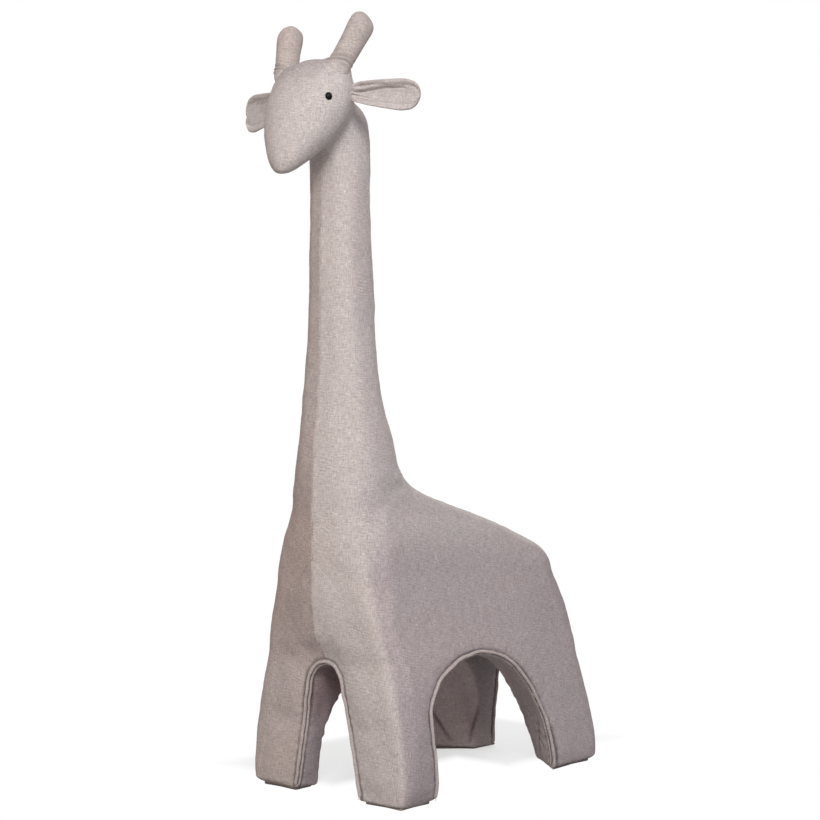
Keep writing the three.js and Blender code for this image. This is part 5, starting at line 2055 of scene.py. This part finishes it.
@dataclass
class SkinRelief:
    """What is pressed into the stuffed skin: seams, puckers, folds, full feet and an uneven filling."""

    arches: ArchForm
    seams: SeamLines
    head: HeadForm
    seam_welt: Bell = Bell(0.35 * MM, 2.0 * MM, 3.6 * MM)
    seam_groove: Bell = Bell(-0.8 * MM, 2.2 * MM)
    # Beside an arch: the puckers, the groove and the painted shade in it
    pucker: Bell = Bell(0.5 * MM, 9 * MM, 8 * MM)
    pucker_length: float = 17 * MM
    # How the puckers drift and how the painted shade weakens along the arch: how far, and over which length
    pucker_drift: tuple[float, float] = (2.0, 31 * MM)
    line_fade: tuple[float, float] = (0.25, 23 * MM)
    arch_groove: Bell = Bell(-1.8 * MM, 2.4 * MM, 7.6 * MM)
    arch_line: Bell = Bell(1.0, 2.7 * MM, 7.2 * MM)
    arch_reach: float = 45 * MM
    eye_dimple: Bell = Bell(-1.3 * MM, 9 * MM)
    # The skin drawn up round each horn's foot
    horn_pull: Bell = Bell(8 * MM, 9 * MM)
    horn_share: float = 0.46
    horn_fade: float = 30 * MM
    # The filling's unevenness: height, length, seed, octaves
    lumps: tuple[tuple[float, float, int, int], ...] = (
        (0.5 * MM, 110 * MM, 3, 3), (0.22 * MM, 26 * MM, 5, 2),
    )
    # The far front foot and the near rear foot bulge at their outer corners, from these places on
    foot_bulge: float = 8 * MM
    foot_height: float = 240 * MM
    foot_power: float = 1.2
    foot_faces: tuple[float, float] = (0.1, 0.5)
    foot_aside: tuple[float, float] = (60 * MM, 120 * MM)
    foot_ahead: tuple[tuple[int, float, float], ...] = ((-1, 50 * MM, 100 * MM), (1, 140 * MM, 200 * MM))
    still: tuple[float, float] = (3 * MM, 14 * MM)
    # The near rear leg's inner wall bulges into the aisle: its windows along x, y and z
    wall_bulge: float = 12 * MM
    wall_windows: tuple[tuple[tuple[float, float], tuple[float, float]], ...] = (
        ((0.0, 0.02), (0.075, 0.12)), ((0.10, 0.16), (0.24, 0.28)), ((0.0, 0.09), (0.12, 0.205)),
    )
    # The feet's rims wave, and the rear feet's inner rear corners are filled out and drawn down
    rim_wave: float = 1.5 * MM
    rim_draw: tuple[float, int] = (46 * MM, 9)
    rim_fade: tuple[float, float] = (2 * MM, 12 * MM)
    corner_height: float = 40 * MM
    corner_floor: float = 3 * MM
    corner: Bell = Bell(1.0, 26 * MM)
    corner_place: tuple[float, float] = (68 * MM, 275 * MM)
    corner_push: tuple[float, float] = (-6 * MM, 8 * MM)
    corner_drop: float = 0.85
    # The walls between the legs: how far they face in, how far from the middle they start and their ends
    wall_faces: tuple[float, float] = (0.25, 0.6)
    wall_starts: tuple[float, float] = (0.10, 0.12)
    wall_ends: tuple[float, float] = (-0.185, 0.285)
    # Their slanting waves: height, length, slope along x and z, ends and drift
    wave: float = 0.75 * MM
    wave_length: float = 19 * MM
    wave_slope: tuple[float, float] = (0.75, 0.66)
    wave_ends: tuple[tuple[float, float], tuple[float, float]] = ((0.02, 0.05), (0.13, 0.17))
    wave_drift: float = 2.2
    drift_draw: tuple[float, int, int] = (60 * MM, 15, 2)
    # Their two sharp folds, seen from the front as (x, z), and what is left of one at its ends
    fold_least: float = 0.45
    fold_edge: Bell = Bell(1.0 * MM, 4 * MM, 7 * MM)
    fold_groove: Bell = Bell(-2.6 * MM, 3.2 * MM)
    # Painted shade along each fold's groove
    fold_line: Bell = Bell(0.8, 2.4 * MM)
    folds: tuple[tuple[tuple[float, float], tuple[float, float]], ...] = (
        ((0.120, 0.084), (0.096, 0.014)), ((0.052, 0.078), (0.073, 0.013)),
    )

    def drawn_up(self, points: Array) -> Array:
        """The skin drawn up along each horn, by a bell of the distance from the horn's side."""
        horn = Horn(self.head)
        for side in Side:
            root, way = horn.foot(side)
            along = (points - root) @ way
            aside = np.linalg.norm(points - root - along[:, None] * way, axis=1)
            beside = np.clip(aside - self.horn_share * horn.diameter, 0, None)
            pull = self.horn_pull.at(beside) * ease(-self.horn_fade, 0.0, along)
            points = points + pull[:, None] * way
        return points

    def beside_arches(self, points: Array) -> tuple[Array, Array]:
        """The lift and the painted shade beside the arches: short waves that die away from a groove."""
        lift, shade = np.zeros((2, len(points)))
        for number, (path, _, _) in enumerate(self.arches.edges().values()):
            near, along = near_path(points, path, self.arch_reach)
            drift, fade = (
                size * np.sin(along / length + number) for size, length in (self.pucker_drift, self.line_fade)
            )
            wave = np.sin(2 * np.pi * along / self.pucker_length + drift)
            lift += wave * self.pucker.at(near) + self.arch_groove.at(near)
            # Painted shade in the groove beside the arch, weaker in places along it
            shade = np.maximum(shade, self.arch_line.at(near) * (1 - self.line_fade[0] + fade))
        return lift, shade

    def full_feet(self, points: Array, normals: Array) -> Array:
        """The lift at two feet's outer corners, which grows towards the floor."""
        x, y, z = points.T
        out = normals[:, 0] + normals[:, 1]
        low = np.clip(1 - z / self.foot_height, 0, 1) ** self.foot_power
        corners = sum(
            ease(*self.foot_aside, sign * x) * ease(start, end, sign * y) * ease(*self.foot_faces, sign * out)
            for sign, start, end in self.foot_ahead
        )
        return self.foot_bulge * low * corners

    def gusset_folds(self, points: Array, normals: Array) -> tuple[Array, Array]:
        """The lift and the painted shade of the folds in the walls between the legs.

        Two sharp folds run down the front wall of each rear leg: bells of the distance from a line, seen from
        the front. Soft slanting waves cover all the walls.
        """
        x, y, z = np.abs(points[:, 0]), points[:, 1], points[:, 2]
        wall = ease(*self.wall_faces, -normals[:, 1] * np.sign(y)) * ease(*self.wall_starts, np.abs(y))
        front, rear = self.wall_ends
        wall *= (y > front) & (y < rear)
        slope_x, slope_z = self.wave_slope
        slant = 2 * np.pi * (slope_x * x + slope_z * z) / self.wave_length
        slant += self.wave_drift * ripple(points, *self.drift_draw)
        lift = self.wave * np.sin(slant) * wall * window(*self.wave_ends, z)
        shade = np.zeros(len(points))
        for start, end in np.array(self.folds):
            way = end - start
            share = np.clip(((x - start[0]) * way[0] + (z - start[1]) * way[1]) / (way @ way), 0, 1)
            gap = np.hypot(x - start[0] - share * way[0], z - start[1] - share * way[1])
            fade = self.fold_least + (1 - self.fold_least) * np.sin(np.pi * share)
            fade = wall * (y > 0) * fade
            lift += fade * (self.fold_edge.at(gap) + self.fold_groove.at(gap))
            # Painted shade along the fold
            shade = np.maximum(shade, fade * self.fold_line.at(gap))
        return lift, shade

    def settled(self, points: Array, moved: Array) -> Array:
        """The moved skin with the near rear leg's inner wall, the feet's rims and two corners in place."""
        x, y, z = points.T
        bulge = np.prod([window(*edges, at) for edges, at in zip(self.wall_windows, points.T)], axis=0)
        moved[:, 0] -= self.wall_bulge * bulge
        rim = 0.5 + 0.5 * ripple(points * [1, 1, 0], *self.rim_draw)
        moved[:, 2] += self.rim_wave * rim * (1 - ease(*self.rim_fade, moved[:, 2]))
        aside, behind = self.corner_place
        corner = self.corner.at(np.hypot(np.abs(x) - aside, y - behind))
        corner *= 1 - ease(0.0, self.corner_height, z)
        inward, back = self.corner_push
        moved[:, 0] += corner * inward * np.sign(x)
        moved[:, 1] += corner * back
        moved[:, 2] -= self.corner_drop * corner * np.clip(moved[:, 2] - self.corner_floor, 0, None)
        return moved

    def press(self, skin: bpy.types.Object) -> Array:
        """Shapes the skin and keeps its painted shade and its tone, with the panels' painted shade and light,
        on its vertices.

        Returns:
            The distance to the nearest seam at each vertex.
        """
        move_points(skin, self.drawn_up(points_of(skin)))
        points, normals = points_of(skin), normals_of(skin)
        gap = self.seams.drawn(points)
        # The arches' and the folds' marks are painted shade in their grooves
        puckers, dark = self.beside_arches(points)
        folds, shade = self.gusset_folds(points, normals)
        lift = self.seam_welt.at(gap) + self.seam_groove.at(gap) + puckers + folds
        lift += self.full_feet(points, normals)
        for height, size, seed, octaves in self.lumps:
            lift += height * ripple(points, size, seed, octaves)
        for side in Side:
            place, _ = Eye(self.head).seat(side)
            lift += self.eye_dimple.at(np.linalg.norm(points - place, axis=1))
        moved = points + (lift * ease(*self.still, points[:, 2]))[:, None] * normals
        move_points(skin, self.settled(points, moved))
        # The crease attribute keeps that painted shade, and the tone the panels' painted shade and light
        store(skin, "crease", np.clip(np.maximum(dark, shade), 0, 1))
        store(skin, "nap", NapTones().at(points, normals, self.seams))
        return gap


def build_cover(trunk: TrunkForm, arches: ArchForm, head: HeadForm, seams: SeamLines) -> tuple[Array, Array]:
    """Makes the stuffed cover, attaches its pieces to the body and hides the CAD nodes that they stand for.

    Args:
        trunk: the trunk's form.
        arches: the arches cut in it.
        head: the head's form.
        seams: the sewn lines.

    Returns:
        The skin's vertices and the way out of it at each, for what is sewn on to it.
    """
    cover = StuffedCover(trunk, arches, head, seams)
    skin = cover.build()
    WARDROBE.cut_cloth(skin, LINEN, SkinRelief(arches, seams, head).press(skin))
    points, normals = points_of(skin), normals_of(skin)
    for node, piece in cover.part(skin).items():
        finish_piece(piece, "cover", node, fill=0.95)
    return points, normals


def main() -> None:
    """Builds the studio and the giraffe."""
    logging.basicConfig(level=logging.INFO, format="%(name)s: %(message)s")
    Studio().build()
    trunk = TrunkForm()
    arches = ArchForm(trunk)
    head = HeadForm()
    seams = SeamLines(trunk)
    points, normals = build_cover(trunk, arches, head, seams)
    ArchWelts(arches).build(points, normals)
    for side in Side:
        Horn(head).build(side, points)
        Eye(head).build(side)
        for end in End:
            Sole().build(end, side)
    Ear(head).build(Side.LEFT)
    Ear(head, width=58 * MM, droop=np.radians(2), folded=0.4).build(Side.RIGHT)
    Tail(trunk).build()
    dress_frame()


if __name__ == "__main__":
    main()
